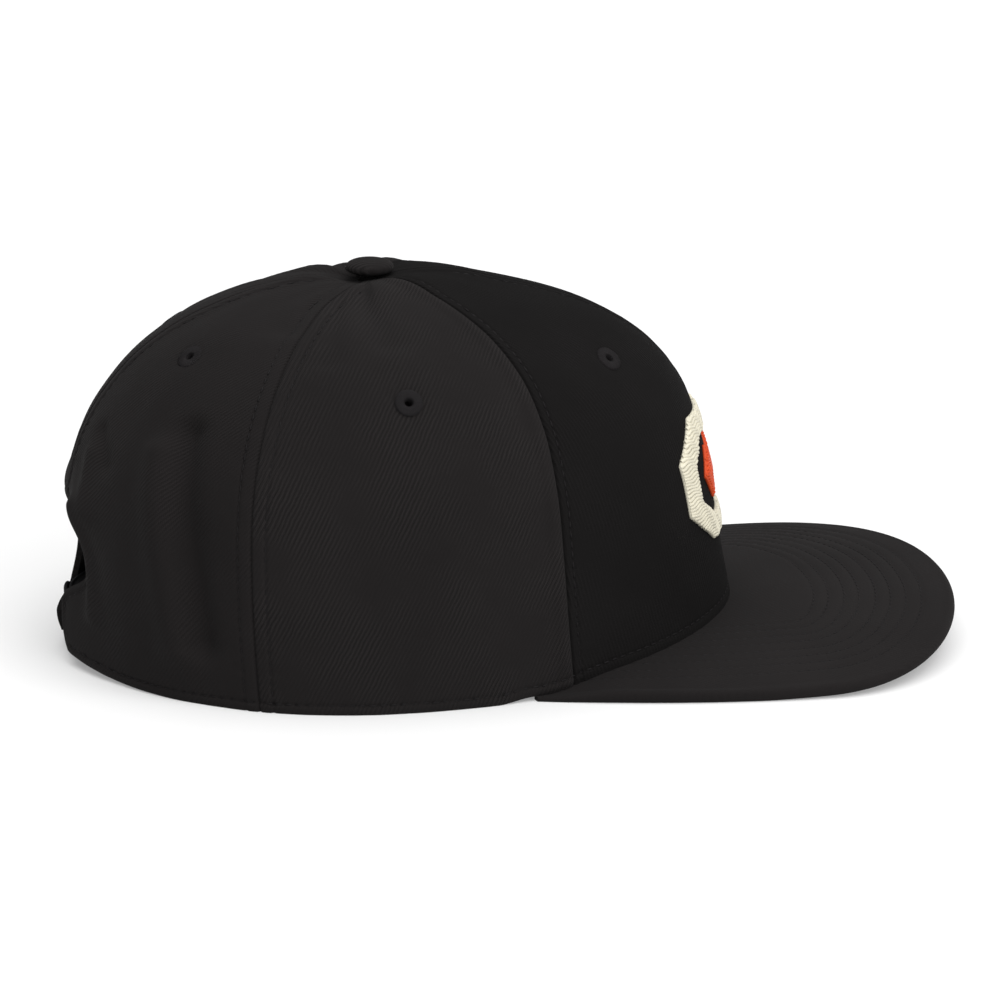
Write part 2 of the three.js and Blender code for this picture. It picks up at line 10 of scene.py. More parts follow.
import bmesh
import bpy
import numpy as np
from bpy.props import FloatProperty, FloatVectorProperty, IntProperty, PointerProperty
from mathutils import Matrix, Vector

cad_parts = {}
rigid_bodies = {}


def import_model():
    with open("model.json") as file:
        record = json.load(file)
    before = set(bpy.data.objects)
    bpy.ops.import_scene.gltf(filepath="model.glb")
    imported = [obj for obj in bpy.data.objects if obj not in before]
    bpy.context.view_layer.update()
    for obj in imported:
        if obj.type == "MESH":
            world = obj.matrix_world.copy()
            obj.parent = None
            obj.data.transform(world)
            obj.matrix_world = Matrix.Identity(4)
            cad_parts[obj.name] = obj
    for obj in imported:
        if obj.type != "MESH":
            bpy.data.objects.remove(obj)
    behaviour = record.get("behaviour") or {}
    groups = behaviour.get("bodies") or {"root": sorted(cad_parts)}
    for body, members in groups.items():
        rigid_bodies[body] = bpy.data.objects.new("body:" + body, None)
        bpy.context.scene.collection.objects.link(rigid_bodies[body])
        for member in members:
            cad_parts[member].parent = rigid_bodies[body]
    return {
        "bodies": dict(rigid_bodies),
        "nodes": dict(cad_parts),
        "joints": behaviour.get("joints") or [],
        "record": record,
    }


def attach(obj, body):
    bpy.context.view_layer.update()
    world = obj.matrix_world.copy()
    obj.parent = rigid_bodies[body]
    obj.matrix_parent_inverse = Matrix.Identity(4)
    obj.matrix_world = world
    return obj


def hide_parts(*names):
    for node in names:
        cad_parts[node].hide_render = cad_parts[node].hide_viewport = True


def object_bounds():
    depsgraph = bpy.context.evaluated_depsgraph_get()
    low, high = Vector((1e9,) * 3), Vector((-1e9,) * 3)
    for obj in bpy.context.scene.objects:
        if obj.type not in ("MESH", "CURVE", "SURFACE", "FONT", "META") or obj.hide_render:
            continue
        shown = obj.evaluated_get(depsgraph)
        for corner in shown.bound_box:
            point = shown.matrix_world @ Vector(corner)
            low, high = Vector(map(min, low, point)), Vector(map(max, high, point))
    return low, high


bl_info = {
    "name": "Snapback Cap",
    "version": (1, 0, 0),
    "blender": (4, 5, 0),
    "location": "View3D > Sidebar > Cap",
    "description": "Sews a snapback cap over its packed solids",
    "category": "Object",
}

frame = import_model()

MM = 0.001
# In mm: GAP keeps the two halves of the strap and the button off what they lie on, and STRAND is
# the width of one strand of thread.
GAP = 0.3
STRAND = 0.16
# In mm: rough radius and height of the crown laid flat, for creases and puckers.
ROUND = 80
CLIMB = 165.0
# In mm: farther than any point, and the height over which no cloth is near the lower edge.
FAR = 1e9
NEAR_EDGE = 75
# The panels stop just short of the place where their seams meet.
TOP_WALK = 0.994
CAD_BOX = [list(corner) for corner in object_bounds()]

# From the rim (walk 0) to the button (walk 1). Height is a share of the crown height,
# front and rear are shares of the two reaches, side is a share of the half width.
CROWN_SECTIONS = (
    {"walk": 0.0, "height": 0.0, "front": 1.0, "rear": 0.98, "side": 1.0},
    {"walk": 0.12, "height": 0.16, "front": 0.972, "rear": 1.006, "side": 0.995},
    {"walk": 0.26, "height": 0.34, "front": 0.945, "rear": 1.02, "side": 0.985},
    {"walk": 0.42, "height": 0.52, "front": 0.913, "rear": 0.998, "side": 0.945},
    {"walk": 0.58, "height": 0.68, "front": 0.855, "rear": 0.905, "side": 0.85},
    {"walk": 0.72, "height": 0.81, "front": 0.735, "rear": 0.75, "side": 0.707},
    {"walk": 0.83, "height": 0.9, "front": 0.56, "rear": 0.56, "side": 0.54},
    {"walk": 0.91, "height": 0.955, "front": 0.36, "rear": 0.35, "side": 0.35},
    {"walk": 0.965, "height": 0.989, "front": 0.19, "rear": 0.135, "side": 0.19},
    {"walk": 1.0, "height": 0.993, "front": 0.0, "rear": 0.0, "side": 0.0},
)

# Soft hollows in the unstiffened panels: degrees round, walk, spread of each, depth. A negative
# depth is a bulge.
FOLDS = (
    {"angle": 129, "walk": 0.3, "across": 7, "along": 0.24, "depth": 2.2},
    {"angle": 99, "walk": 0.42, "across": 9, "along": 0.2, "depth": 0.9},
    {"angle": 158, "walk": 0.56, "across": 8, "along": 0.12, "depth": 1.2},
    {"angle": -133, "walk": 0.34, "across": 8, "along": 0.22, "depth": 1.8},
    {"angle": -95, "walk": 0.36, "across": 10, "along": 0.2, "depth": 1.0},
    {"angle": 167, "walk": 0.2, "across": 9, "along": 0.11, "depth": 3.0},
    {"angle": -167, "walk": 0.2, "across": 9, "along": 0.11, "depth": 3.0},
    {"angle": 166, "walk": 0.335, "across": 8, "along": 0.06, "depth": -2.4},
    {"angle": -166, "walk": 0.335, "across": 8, "along": 0.06, "depth": -2.4},
)

# Panels: seam angles in degrees, twill lean in degrees from upright, how soft the cloth
# hangs, how much of a roll the hem has, how far the pressed seam allowance lifts the cloth
# beside each seam, and the distance of the row of stitches from each seam (0 for none).
PANELS = (
    {"name": "front", "start": 0.0, "end": 63.0, "twill": 8.0, "soft": 0.25, "hem_roll": 0.25,
     "lift_start": 0.16, "lift_end": 0.04, "row_start": 4.0, "row_end": 2.7},
    {"name": "side", "start": 63.0, "end": 118.5, "twill": -27.0, "soft": 1.0, "hem_roll": 1.0,
     "lift_start": 0.5, "lift_end": 0.2, "row_start": 0.0, "row_end": 4.3},
    {"name": "rear", "start": 118.5, "end": 180.0, "twill": -40.0, "soft": 1.0, "hem_roll": 1.0,
     "lift_start": 0.2, "lift_end": 0.25, "row_start": 4.3, "row_end": 4.3},
)

EYELETS = (
    {"panel": "front", "angle": 36.5, "walk": 0.705},
    {"panel": "side", "angle": 87.5, "walk": 0.665},
    {"panel": "rear", "angle": 151.0, "walk": 0.745},
)

# Creases drawn from one place to another on the soft panels (degrees, walk), with their
# width and depth. A negative depth is a ridge.
CREASES = (
    {"a": (136, 0.58), "b": (130, 0.12), "width": 4.6, "depth": 3.8},
    {"a": (142.5, 0.52), "b": (136, 0.10), "width": 5.5, "depth": -2.2},
    {"a": (168, 0.34), "b": (161, 0.12), "width": 3.8, "depth": -1.9},
    {"a": (166, 0.53), "b": (159, 0.46), "width": 3.4, "depth": 1.3},
    {"a": (111, 0.93), "b": (107, 0.77), "width": 3.6, "depth": 1.2},
    {"a": (98, 0.94), "b": (90, 0.81), "width": 4.0, "depth": 1.3},
    {"a": (150, 0.93), "b": (133, 0.85), "width": 5.0, "depth": 1.4},
    {"a": (124, 0.93), "b": (123, 0.84), "width": 3.0, "depth": 0.9},
    {"a": (167, 0.47), "b": (163, 0.34), "width": 3.6, "depth": -1.1},
    {"a": (-128, 0.48), "b": (-134, 0.14), "width": 6.0, "depth": 1.1},
    {"a": (-108, 0.90), "b": (-104, 0.74), "width": 3.4, "depth": 0.6},
    {"a": (-142, 0.88), "b": (-130, 0.78), "width": 4.0, "depth": 0.7},
)

DIAMONDS = (
    {"name": "right", "across": -17.0, "half_width": 6.5, "half_height": 10.0},
    {"name": "middle", "across": 0.0, "half_width": 8.0, "half_height": 12.5},
    {"name": "left", "across": 17.0, "half_width": 6.5, "half_height": 10.0},
)

# Rings of stitching on the peak, measured in from its edge.
PEAK_ROWS = (10.3, 15.1, 19.8, 24.4, 29.6, 34.2, 39.2, 43.7)

# Soft lights of the stage: name, strength and where the light comes from.
LAMPS = (("overhead", 2.8, (0, 0, 1)), ("main_light", 2.8, (-0.85, -0.42, 0.6)))


def size(name, about, value):
    """A length in mm or a share."""
    return FloatProperty(name=name, description=about, default=value, min=0.0)


def lean(name, about, degrees):
    """An angle given in degrees."""
    return FloatProperty(name=name, description=about, default=math.radians(degrees), subtype="ANGLE",
                         unit="ROTATION")


class CapSizes(bpy.types.PropertyGroup):
    """Sizes of the cap in millimetres, degrees and shares"""
    crown_height: size("Crown height", "Rim to the top under the button, mm", 118.0)
    half_width: size("Half width", "Middle to the side of the rim, mm", 77.0)
    front_reach: size("Front reach", "Button to the front of the rim, mm", 114.5)
    rear_reach: size("Rear reach", "Button to the back of the rim, mm", 90.5)
    cloth: size("Cloth", "Wall of the crown panels, mm", 1.8)
    lift_fade: size("Lift fade", "Share of the height where the rise of the rim dies out", 0.6)
    arch_half_width: size("Arch half width", "Of the rear arch, mm", 18.0)
    arch_height: size("Arch height", "Of the rear arch, mm", 50.5)
    arch_square: size("Arch squareness", "2 is a half ellipse, more is squarer", 2.8)
    tab_flare: size("Tab flare", "Cloth pushed out beside the strap, mm", 7.5)
    tab_lift: size("Tab lift", "Cloth pushed up beside the strap, mm", 4.2)
    tab_spread: lean("Tab spread", "Round from the rear middle", 22.0)
    tab_rise: size("Tab rise", "Walk over which the flare dies out", 0.17)
    tab_reach: size("Tab reach", "Tabs drawn in over the strap at the rim, mm", 6.0)
    tab_slant: size("Tab slant", "Further reach at the top of the tabs, mm", 9.0)
    tab_height: size("Tab height", "Where the right tab turns into the arch, mm", 24.0)
    tab_left_height: size("Left tab height", "The same on the left, mm", 14.0)
    seam_depth: size("Seam depth", "How far the cloth dips into a seam, mm", 0.7)
    seam_width: size("Seam width", "Half the width of that dip, mm", 0.42)
    row_depth: size("Row depth", "How far a row of stitches pulls in, mm", 0.34)
    hem: size("Hem", "Edge of the cloth to its row of stitches, mm", 3.0)
    stitch_pitch: size("Stitch pitch", "Stitch to stitch, mm", 3.1)
    stitch_length: size("Stitch length", "Thread that shows, mm", 2.35)
    thread: size("Thread", "Thickness of the sewing thread, mm", 0.5)
    peak_tip: size("Peak tip", "Button to the tip of the peak, mm", 184.5)
    peak_half_width: size("Peak half width", "Of the peak, mm", 86.0)
    peak_square: size("Peak squareness", "2 is an ellipse, more is squarer", 2.1)
    peak_trim: size("Peak trim", "Cover inside the packed tip of the peak, mm", 0.9)
    peak_widest: size("Peak widest", "Button to where the sides turn in, mm", 126.0)
    peak_corner: size("Peak corner", "Button to the corners of the peak, mm", 40.0)
    peak_thickness: size("Peak thickness", "Board and cloth, mm", 3.8)
    peak_corner_thickness: size("Corner thickness", "Peak at its corners, mm", 1.4)
    peak_taper: size("Peak taper", "Length over which the corner thickens, mm", 26.0)
    peak_arch: size("Peak arch", "Rise of the middle over the sides, mm", 8.2)
    peak_tilt: lean("Peak tilt", "Tip up", 2.3)
    rim_step: size("Rim step", "Length over which the rim climbs on to the peak, mm", 13.0)
    button_radius: size("Button radius", "Of the covered button, mm", 7.4)
    button_height: size("Button height", "Of the covered button, mm", 3.6)
    button_forward: size("Button forward", "Ahead of where the seams meet, mm", 1.6)
    eyelet_radius: size("Eyelet radius", "Outside of the sewn ring, mm", 4.2)
    eyelet_hole: size("Eyelet hole", "Radius of the hole, mm", 1.2)
    strap_height: size("Strap height", "Of the snap strap, mm", 18.0)
    strap_bottom: size("Strap bottom", "Table to the strap, mm", 2.8)
    strap_thickness: size("Strap thickness", "Of each half, mm", 1.3)
    strap_slack: size("Strap slack", "Strap to the inside of the tabs, mm", 2.0)
    strap_bulge: size("Strap bulge", "Middle of the strap springs out, mm", 1.6)
    strap_root: lean("Strap root", "Angle from the rear middle", 38.0)
    strap_overlap: size("Strap overlap", "Each half past the middle, mm", 12.0)
    snap_pitch: size("Snap pitch", "Peg to peg, mm", 7.0)
    peg_radius: size("Peg radius", "Of each snap peg, mm", 1.7)
    snaps: IntProperty(name="Closed snaps", description="Pegs through holes", default=3)
    badge_half_width: size("Badge half width", "Of the border, mm", 38.0)
    badge_half_height: size("Badge half height", "Of the border, mm", 22.5)
    badge_centre: size("Badge centre", "Above the rim, mm", 49.0)
    badge_band: size("Badge band", "Width of the border, mm", 7.5)
    badge_cut: size("Badge corner", "Cut of the four corners, mm", 13.0)
    badge_rise: size("Badge rise", "Height of the stitches, mm", 1.1)


def linear(value):
    """An sRGB hex value as linear red, green, blue and alpha."""
    parts = [int(value[i:i + 2], 16) / 255 for i in (1, 3, 5)]
    return tuple(c / 12.92 if c <= 0.04045 else ((c + 0.055) / 1.055) ** 2.4 for c in parts) + (1.0,)


def colour(name, about, value):
    """A colour swatch given as an sRGB hex value."""
    return FloatVectorProperty(name=name, description=about, subtype="COLOR", size=4, min=0.0, max=1.0,
                               default=linear(value))


class CapColours(bpy.types.PropertyGroup):
    """Colours of the cap's cloth, thread and plastic"""
    # Painted shade: the front panels are the same twill as the sides, given a darker colour for the light
    # that misses their forward faces.
    front_cloth: colour("Front cloth", "Stiffened twill of the two front panels", "#121111")
    soft_cloth: colour("Soft cloth", "Twill of the side panels", "#191717")
    # Painted shade, not wear: the rear panels are the same twill as the sides, given a darker colour for the
    # light that falls less on them.
    rear_cloth: colour("Rear cloth", "The same twill on the rear panels, more worn and folded", "#181616")
    # Painted shade: the peak is the same twill as the sides, given a slightly darker colour for how the light
    # falls on it.
    peak_cloth: colour("Peak cloth", "Twill of the peak", "#181616")
    dark_thread: colour("Dark thread", "Sewing thread", "#110f10")
    eyelet_thread: colour("Eyelet thread", "Thread wound round the eyelets", "#171516")
    strap_plastic: colour("Strap plastic", "Moulded snap strap", "#0d0d0e")
    cream_thread: colour("Cream thread", "Border of the badge", "#c3beac")
    orange_thread: colour("Orange thread", "Diamonds of the badge", "#b84220")
    table: colour("Table", "Surface under the cap", "#bcbcbc")


def smooth(low, high, value):
    """Smooth step from 0 at low to 1 at high."""
    t = np.clip((value - low) / (high - low), 0.0, 1.0)
    return t * t * (3 - 2 * t)


def bell(value, middle, width):
    """1 at the middle, dying out over the width."""
    return np.exp(-((value - middle) / width) ** 2)


def section(name, walk):
    """A smooth curve through one column of the crown's table."""
    at = np.array([row["walk"] for row in CROWN_SECTIONS])
    value = np.array([row[name] for row in CROWN_SECTIONS])
    step = np.diff(at)
    rate = np.diff(value) / step
    slope = np.concatenate(([rate[0]], (rate[:-1] * step[1:] + rate[1:] * step[:-1]) / (step[:-1] + step[1:]),
                            [rate[-1]]))
    walk = np.clip(walk, 0.0, 1.0)
    i = np.clip(np.searchsorted(at, walk, side="right") - 1, 0, len(at) - 2)
    t = (walk - at[i]) / step[i]
    start = (2 * t ** 3 - 3 * t ** 2 + 1) * value[i] + (t ** 3 - 2 * t ** 2 + t) * step[i] * slope[i]
    end = (3 * t ** 2 - 2 * t ** 3) * value[i + 1] + (t ** 3 - t ** 2) * step[i] * slope[i + 1]
    return start + end


def speckle(x, y, size, seed):
    """Smooth noise from -1 to 1 with lumps of the given size, the same on every run."""
    table = np.random.RandomState(seed).uniform(-1, 1, (64, 64))
    u, v = np.asarray(x) / size, np.asarray(y) / size
    i, j = np.floor(u).astype(int), np.floor(v).astype(int)
    fu, fv = smooth(0, 1, u - i), smooth(0, 1, v - j)
    low = table[i % 64, j % 64] * (1 - fu) + table[(i + 1) % 64, j % 64] * fu
    high = table[i % 64, (j + 1) % 64] * (1 - fu) + table[(i + 1) % 64, (j + 1) % 64] * fu
    return low * (1 - fv) + high * fv


def lengths(line):
    """Length run along a polyline up to each of its points."""
    return np.concatenate(([0], np.cumsum(np.linalg.norm(np.diff(line, axis=0), axis=1))))


def distance(points, line):
    """Distance of each point from a polyline, worked out block by block to spare memory."""
    start, way = line[:-1], np.diff(line, axis=0)
    gap = np.empty(len(points))
    for block in np.array_split(np.arange(len(points)), max(1, len(points) // 3000)):
        p = points[block][:, None]
        t = np.clip(((p - start) * way).sum(-1) / (way * way).sum(-1), 0, 1)
        gap[block] = np.sqrt((((start + t[..., None] * way) - p) ** 2).sum(-1)).min(1)
    return gap


class Pattern:
    """The cap's surfaces, worked out from its sizes. Angle 0 is straight ahead, and positive
    angles go round by the wearer's right."""

    def __init__(self, sizes):
        self.s = sizes
        self.layer = (sizes.strap_thickness + GAP) / 2
        self.shift = sizes.peak_tip + CAD_BOX[0][1] / MM
        walks = np.linspace(0, 1, 400)
        self.walks, self.heights = walks, section("height", walks) * sizes.crown_height

    def peak_bottom(self, x, forward):
        """Height of the peak's underside, which meets the table along the sides."""
        s = self.s
        rise = s.peak_arch * (1 - (x / s.peak_half_width) ** 2)
        return np.maximum(0.0, rise + math.tan(s.peak_tilt) * (forward - s.front_reach))

    def peak_depth(self, forward):
        """Thickness of the peak, thinner where it tucks in under the crown."""
        s = self.s
        grown = smooth(s.peak_corner, s.peak_corner + s.peak_taper, forward)
        return s.peak_corner_thickness + (s.peak_thickness - s.peak_corner_thickness) * grown

    def peak_top(self, x, forward):
        return self.peak_bottom(x, forward) + self.peak_depth(forward)

    def tab(self, angle, walk):
        """How strongly the strap pushes the cloth: 1 at the rear middle of the rim, 0 away from it."""
        away = (math.pi - np.abs(angle)) / self.s.tab_spread
        return np.exp(-away ** 2 - (walk / self.s.tab_rise) ** 2)

    def strap(self, angle, layer, height):
        """Path of the strap just inside the flared rim. The angle is from the rear middle, positive to
        the wearer's right; the layer is out from the middle of its two halves."""
        s = self.s
        arch = math.asin(s.arch_half_width / s.half_width)
        out = (1 - np.minimum(1, np.abs(angle) / arch) ** 2) ** 1.5
        root = s.cloth + s.strap_slack + s.strap_thickness + GAP / 2
        inset = root - s.strap_bulge * out - layer - s.tab_flare * self.tab(math.pi - angle, 0)
        x = -(s.half_width - inset) * np.sin(angle)
        reach = s.rear_reach * CROWN_SECTIONS[0]["rear"] - inset
        return np.stack([x, reach * np.cos(angle) + self.shift, height + 0 * x], -1)

    def hollow(self, fold, angle, walk):
        """Depth of one fold at a place on the crown."""
        off = (angle - math.radians(fold["angle"])) / math.radians(fold["across"])
        return fold["depth"] * np.exp(-off ** 2 - ((walk - fold["walk"]) / fold["along"]) ** 2)

    def crown(self, angle, walk, inset=0.0):
        """Points of the crown, inset into its wall."""
        s = self.s
        angle, walk = np.broadcast_arrays(np.asarray(angle, float), np.asarray(walk, float))
        deep = inset + sum(self.hollow(fold, angle, walk) for fold in FOLDS)
        tab = self.tab(angle, walk)
        deep = deep - s.tab_flare * tab
        ahead = np.cos(angle)
        reach = np.where(ahead > 0, (s.front_reach - deep) * section("front", walk),
                         (s.rear_reach - deep) * section("rear", walk))
        x = -(s.half_width - deep) * section("side", walk) * np.sin(angle)
        share = section("height", walk)
        rim_forward = (s.front_reach - deep) * np.maximum(ahead, 0)
        on_peak = smooth(s.peak_corner - s.rim_step, s.peak_corner - 1, rim_forward)
        rim_top = self.peak_top((s.half_width - deep) * np.sin(angle), rim_forward)
        lift = on_peak * rim_top * np.maximum(0, 1 - share / s.lift_fade)
        z = (s.crown_height - inset) * share + lift + s.tab_lift * tab
        return np.stack([x, -reach * ahead + self.shift, z], -1)

    def rates(self, angle, walk):
        """How the crown's points move with angle and with walk."""
        da, dw = 0.004, 0.004
        high, low = np.minimum(walk + dw, 1.0), np.maximum(walk - dw, 0.0)
        round_ = (self.crown(angle + da, walk) - self.crown(angle - da, walk)) / (2 * da)
        up = (self.crown(angle, high) - self.crown(angle, low)) / (high - low)[..., None]
        return round_, up

    def normal(self, angle, walk):
        """The way out of the crown."""
        round_, up = self.rates(angle, np.minimum(walk, 0.985))
        out = np.cross(up, round_)
        return out / np.linalg.norm(out, axis=-1, keepdims=True)

    def arch_edge(self, side, steps=90):
        """The lower edge of a rear panel: degrees round and walk along the rim, then up the arch."""
        s = self.s
        turn = np.linspace(0.02, math.pi / 2, steps)
        x = s.arch_half_width * np.cos(turn) ** (2 / s.arch_square)
        z = s.arch_height * np.sin(turn) ** (2 / s.arch_square)
        walk = np.interp(z, self.heights, self.walks)
        angle = math.pi - np.arcsin(np.clip(x / s.half_width, -1, 1))
        for _ in range(8):
            at = self.crown(side * angle, walk)
            aim = np.interp(walk, self.walks, self.heights) + z - at[:, 2]
            walk = np.interp(aim, self.heights, self.walks)
            angle = np.minimum(angle + (np.abs(at[:, 0]) - x) / s.half_width, math.pi)
        start = math.radians(PANELS[2]["start"])
        rim = np.linspace(start, angle[0], 50)[:-1]
        return np.concatenate([rim, angle]), np.concatenate([np.zeros(49), walk])

    def drawn_in(self, side, angle, walk):
        """Angle of the cloth beside the arch, which the fastened strap draws towards the middle."""
        s = self.s
        at = self.crown(angle, walk)
        z = at[..., 2]
        share = np.clip(z / s.arch_height, 0, 1)
        off = np.abs(at[..., 0]) - s.arch_half_width * (1 - share ** s.arch_square) ** (1 / s.arch_square)
        tall = s.tab_height if side > 0 else s.tab_left_height
        top = smooth(1.25 * tall, 0.75 * tall, z)
        pull = (s.tab_reach + s.tab_slant * z / tall) * top * np.exp(-(np.maximum(off, 0) / 15) ** 2)
        return angle + side * pull / s.half_width

    def place(self, panel, side, along, up):
        """Angle and walk on a panel from its share along the lower edge and its share up."""
        if panel["name"] != "rear":
            angle = math.radians(panel["start"]) + math.radians(panel["end"] - panel["start"]) * along
            return side * angle, TOP_WALK * up + 0 * angle
        angle, walk = self.arch_edge(side)
        points = self.crown(side * angle, walk)
        run = lengths(points)
        base_angle = np.interp(along * run[-1], run, angle)
        base_walk = np.interp(along * run[-1], run, walk)
        top = math.radians(panel["start"]) + math.radians(panel["end"] - panel["start"]) * along
        blend = up ** 0.8
        angle = side * (base_angle + (top - base_angle) * blend)
        walk = base_walk + (TOP_WALK - base_walk) * up
        return self.drawn_in(side, angle, walk), walk

    def edge_gap(self, panel, side, points):
        """Distance of points from the panel's lower edge."""
        if panel["name"] == "rear":
            angle, walk = self.arch_edge(side, 140)
            angle = side * self.drawn_in(side, side * angle, walk)
        else:
            angle, walk = np.radians(np.linspace(panel["start"] - 4, panel["end"] + 4, 120)), np.zeros(120)
        line = self.crown(side * angle, walk)
        flat = points.reshape(-1, 3)
        gap = np.full(len(flat), FAR)
        near = flat[:, 2] < NEAR_EDGE
        gap[near] = distance(flat[near], line)
        return gap.reshape(points.shape[:-1])

    def relief(self, panel, side, angle, walk):
        """How far the sewn cloth stands out from the smooth crown."""
        s = self.s
        walk = np.asarray(walk, float)
        points = self.crown(angle, walk)
        round_, up = self.rates(angle, np.minimum(walk, 0.985))
        pace = np.linalg.norm(round_, axis=-1)
        degrees = np.abs(angle)
        start = (degrees - math.radians(panel["start"])) * pace
        end = (math.radians(panel["end"]) - degrees) * pace
        climb = np.interp(walk, self.walks, self.meridian())
        edge = self.edge_gap(panel, side, points)
        out = np.zeros(points.shape[:-1])
        fade = smooth(2.0, 12.0, np.hypot(points[..., 0], points[..., 1] - self.shift))
        for gap, lift, row in ((start, panel["lift_start"], panel["row_start"]),
                               (end, panel["lift_end"], panel["row_end"])):
            gap = np.maximum(gap, 0)
            out -= s.seam_depth * bell(gap, 0, s.seam_width) * (0.35 + 0.65 * fade)
            out += lift * bell(gap, 2.6, 2.0) * fade
            if row:
                out -= s.row_depth * self.tug(climb) * bell(gap, row, 0.55) * fade
                out += 0.13 * speckle(climb, gap * 0.4, 2.6, 11) * bell(gap, row, 3.2) * fade
        roll = panel["hem_roll"]
        out += roll * (0.2 * bell(edge, 1.6, 1.0) - 0.35 * bell(edge, 0, 0.6))
        run = angle * ROUND
        out -= (0.5 + 0.5 * roll) * s.row_depth * self.tug(run) * bell(edge, s.hem, 0.5)
        out += roll * 0.12 * speckle(run, edge * 0.5, 3.4, 5) * bell(edge, s.hem, 3.5)
        for eye in EYELETS:
            if eye["panel"] == panel["name"]:
                out += self.round_eyelet(points, self.crown(side * math.radians(eye["angle"]), eye["walk"]))
        out += self.softness(panel, side, angle, walk, points)
        return out

    def tug(self, run):
        """The pull of each stitch along a row."""
        return 1 + 0.5 * np.cos(2 * math.pi * run / self.s.stitch_pitch)

    def round_eyelet(self, points, centre):
        """The cloth dips into an eyelet and puckers round it."""
        far = np.linalg.norm(points - centre, axis=-1)
        way = np.arctan2(points[..., 2] - centre[2], points[..., 1] - centre[1])
        dip = 0.35 * bell(far, 0, 5.2) + 0.3 * bell(far, self.s.eyelet_radius, 0.8)
        return 0.14 * speckle(way * 3, far * 0.1, 1.0, 8) * bell(far, 6.0, 2.5) - dip

    def softness(self, panel, side, angle, walk, points):
        """Creases and slow waves of the cloth."""
        soft = panel["soft"]
        waves, ripples, pleats = (21, 31, 3) if side > 0 else (22, 32, 4)
        x, z = angle * 75 + 300, points[..., 2] + 40
        calm = smooth(0.0, 0.12, walk) * smooth(1.0, 0.9, walk)
        out = soft * 0.42 * speckle(x, z * 0.55, 26, waves) * calm
        out += soft * 0.16 * speckle(x, z * 0.8, 9, ripples) * calm
        behind = points[..., 1] - self.shift
        ring = np.hypot(points[..., 0], behind)
        pleat = speckle(angle * 4.6, ring * 0.05, 1.0, pleats)
        out += (0.2 + 0.8 * soft) * 0.7 * pleat * smooth(5, 12, ring) * smooth(50, 20, ring)
        out -= 2.3 * bell(behind, 5, 9) * bell(points[..., 0], 0, 24)
        seat = np.hypot(points[..., 0], behind + self.s.button_forward)
        out -= 0.9 * bell(seat, 0, 9) + 0.9 * bell(seat, 0, 16)
        for crease in CREASES:
            if soft > 0.5 and crease["a"][0] * side > 0:
                out -= self.crease_depth(crease, angle, walk)
        return out

    def crease_depth(self, crease, angle, walk):
        """Depth of one crease, from its distance in mm on the unrolled panel."""
        (a0, w0), (a1, w1) = crease["a"], crease["b"]
        scale = np.array([ROUND * math.radians(1) * float(section("side", (w0 + w1) / 2)), CLIMB])
        p = np.stack([np.degrees(angle), walk], -1) * scale
        a, b = np.array([a0, w0]) * scale, np.array([a1, w1]) * scale
        t = np.clip(((p - a) * (b - a)).sum(-1) / ((b - a) ** 2).sum(), 0, 1)
        off = np.linalg.norm(p - a - t[..., None] * (b - a), axis=-1)
        return crease["depth"] * bell(off, 0, crease["width"])

    def girth(self, panel, side, angle, walk):
        """Length round the crown from the middle of a panel, growing towards its end seam."""
        turns = np.radians(np.linspace(panel["start"], panel["end"], 61))
        walks = np.linspace(0, 1, 81)
        line = self.crown(side * turns[None], walks[:, None])
        steps = np.linalg.norm(np.diff(line, axis=1), axis=2)
        run = np.concatenate([np.zeros((81, 1)), np.cumsum(steps, 1)], 1)
        run -= run[:, 30:31]
        i = np.clip(walk * 80, 0, 79.999)
        j = np.clip((np.abs(angle) - turns[0]) / (turns[1] - turns[0]), 0, 59.999)
        fi, fj, i, j = i % 1, j % 1, i.astype(int), j.astype(int)
        low = run[i, j] * (1 - fj) + run[i, j + 1] * fj
        high = run[i + 1, j] * (1 - fj) + run[i + 1, j + 1] * fj
        return low * (1 - fi) + high * fi

    def meridian(self):
        """Length walked up the side of the crown from the rim, for each of the walks."""
        if not hasattr(self, "_meridian"):
            self._meridian = lengths(self.crown(np.full(400, math.radians(90)), self.walks))
        return self._meridian

    def cloth_point(self, panel, side, angle, walk, above=0.0):
        """A point on the sewn cloth, and the way out of it."""
        normal = self.normal(angle, walk)
        out = self.relief(panel, side, angle, walk) + above
        return self.crown(angle, walk) + normal * out[..., None], normal

    def front(self, across, up, above):
        """Points over the front of the crown, from the distance across and the height up."""
        walk = np.interp(up, self.heights, self.walks)
        width = self.s.half_width * section("side", walk)
        angle = np.arcsin(np.clip(-np.asarray(across) / width, -1, 1))
        return self.crown(angle, walk, -np.asarray(above))


def mesh_object(name, points, faces, uv=None, sharp=None):
    """A mesh object from points in millimetres, its faces turned outwards."""
    points = np.asarray(points, float).reshape(-1, 3)
    faces = np.asarray(faces, int)
    corners = points[faces]
    fan = np.zeros(())
    for k in range(1, faces.shape[1] - 1):
        fan = fan + np.einsum("ij,ij->i", corners[:, 0], np.cross(corners[:, k], corners[:, k + 1])).sum()
    if fan < 0:
        faces = faces[:, ::-1]
    mesh = bpy.data.meshes.new(name)
    mesh.from_pydata((points * MM).tolist(), [], faces.tolist())
    if uv is not None:
        layer = mesh.uv_layers.new(name="cloth")
        layer.data.foreach_set("uv", np.asarray(uv, float).reshape(-1, 2)[faces.ravel()].ravel())
    mesh.polygons.foreach_set("use_smooth", np.ones(len(faces), bool))
    if sharp is not None:
        mesh.set_sharp_from_angle(angle=math.radians(sharp))
    obj = bpy.data.objects.new(name, mesh)
    bpy.context.scene.collection.objects.link(obj)
    return obj


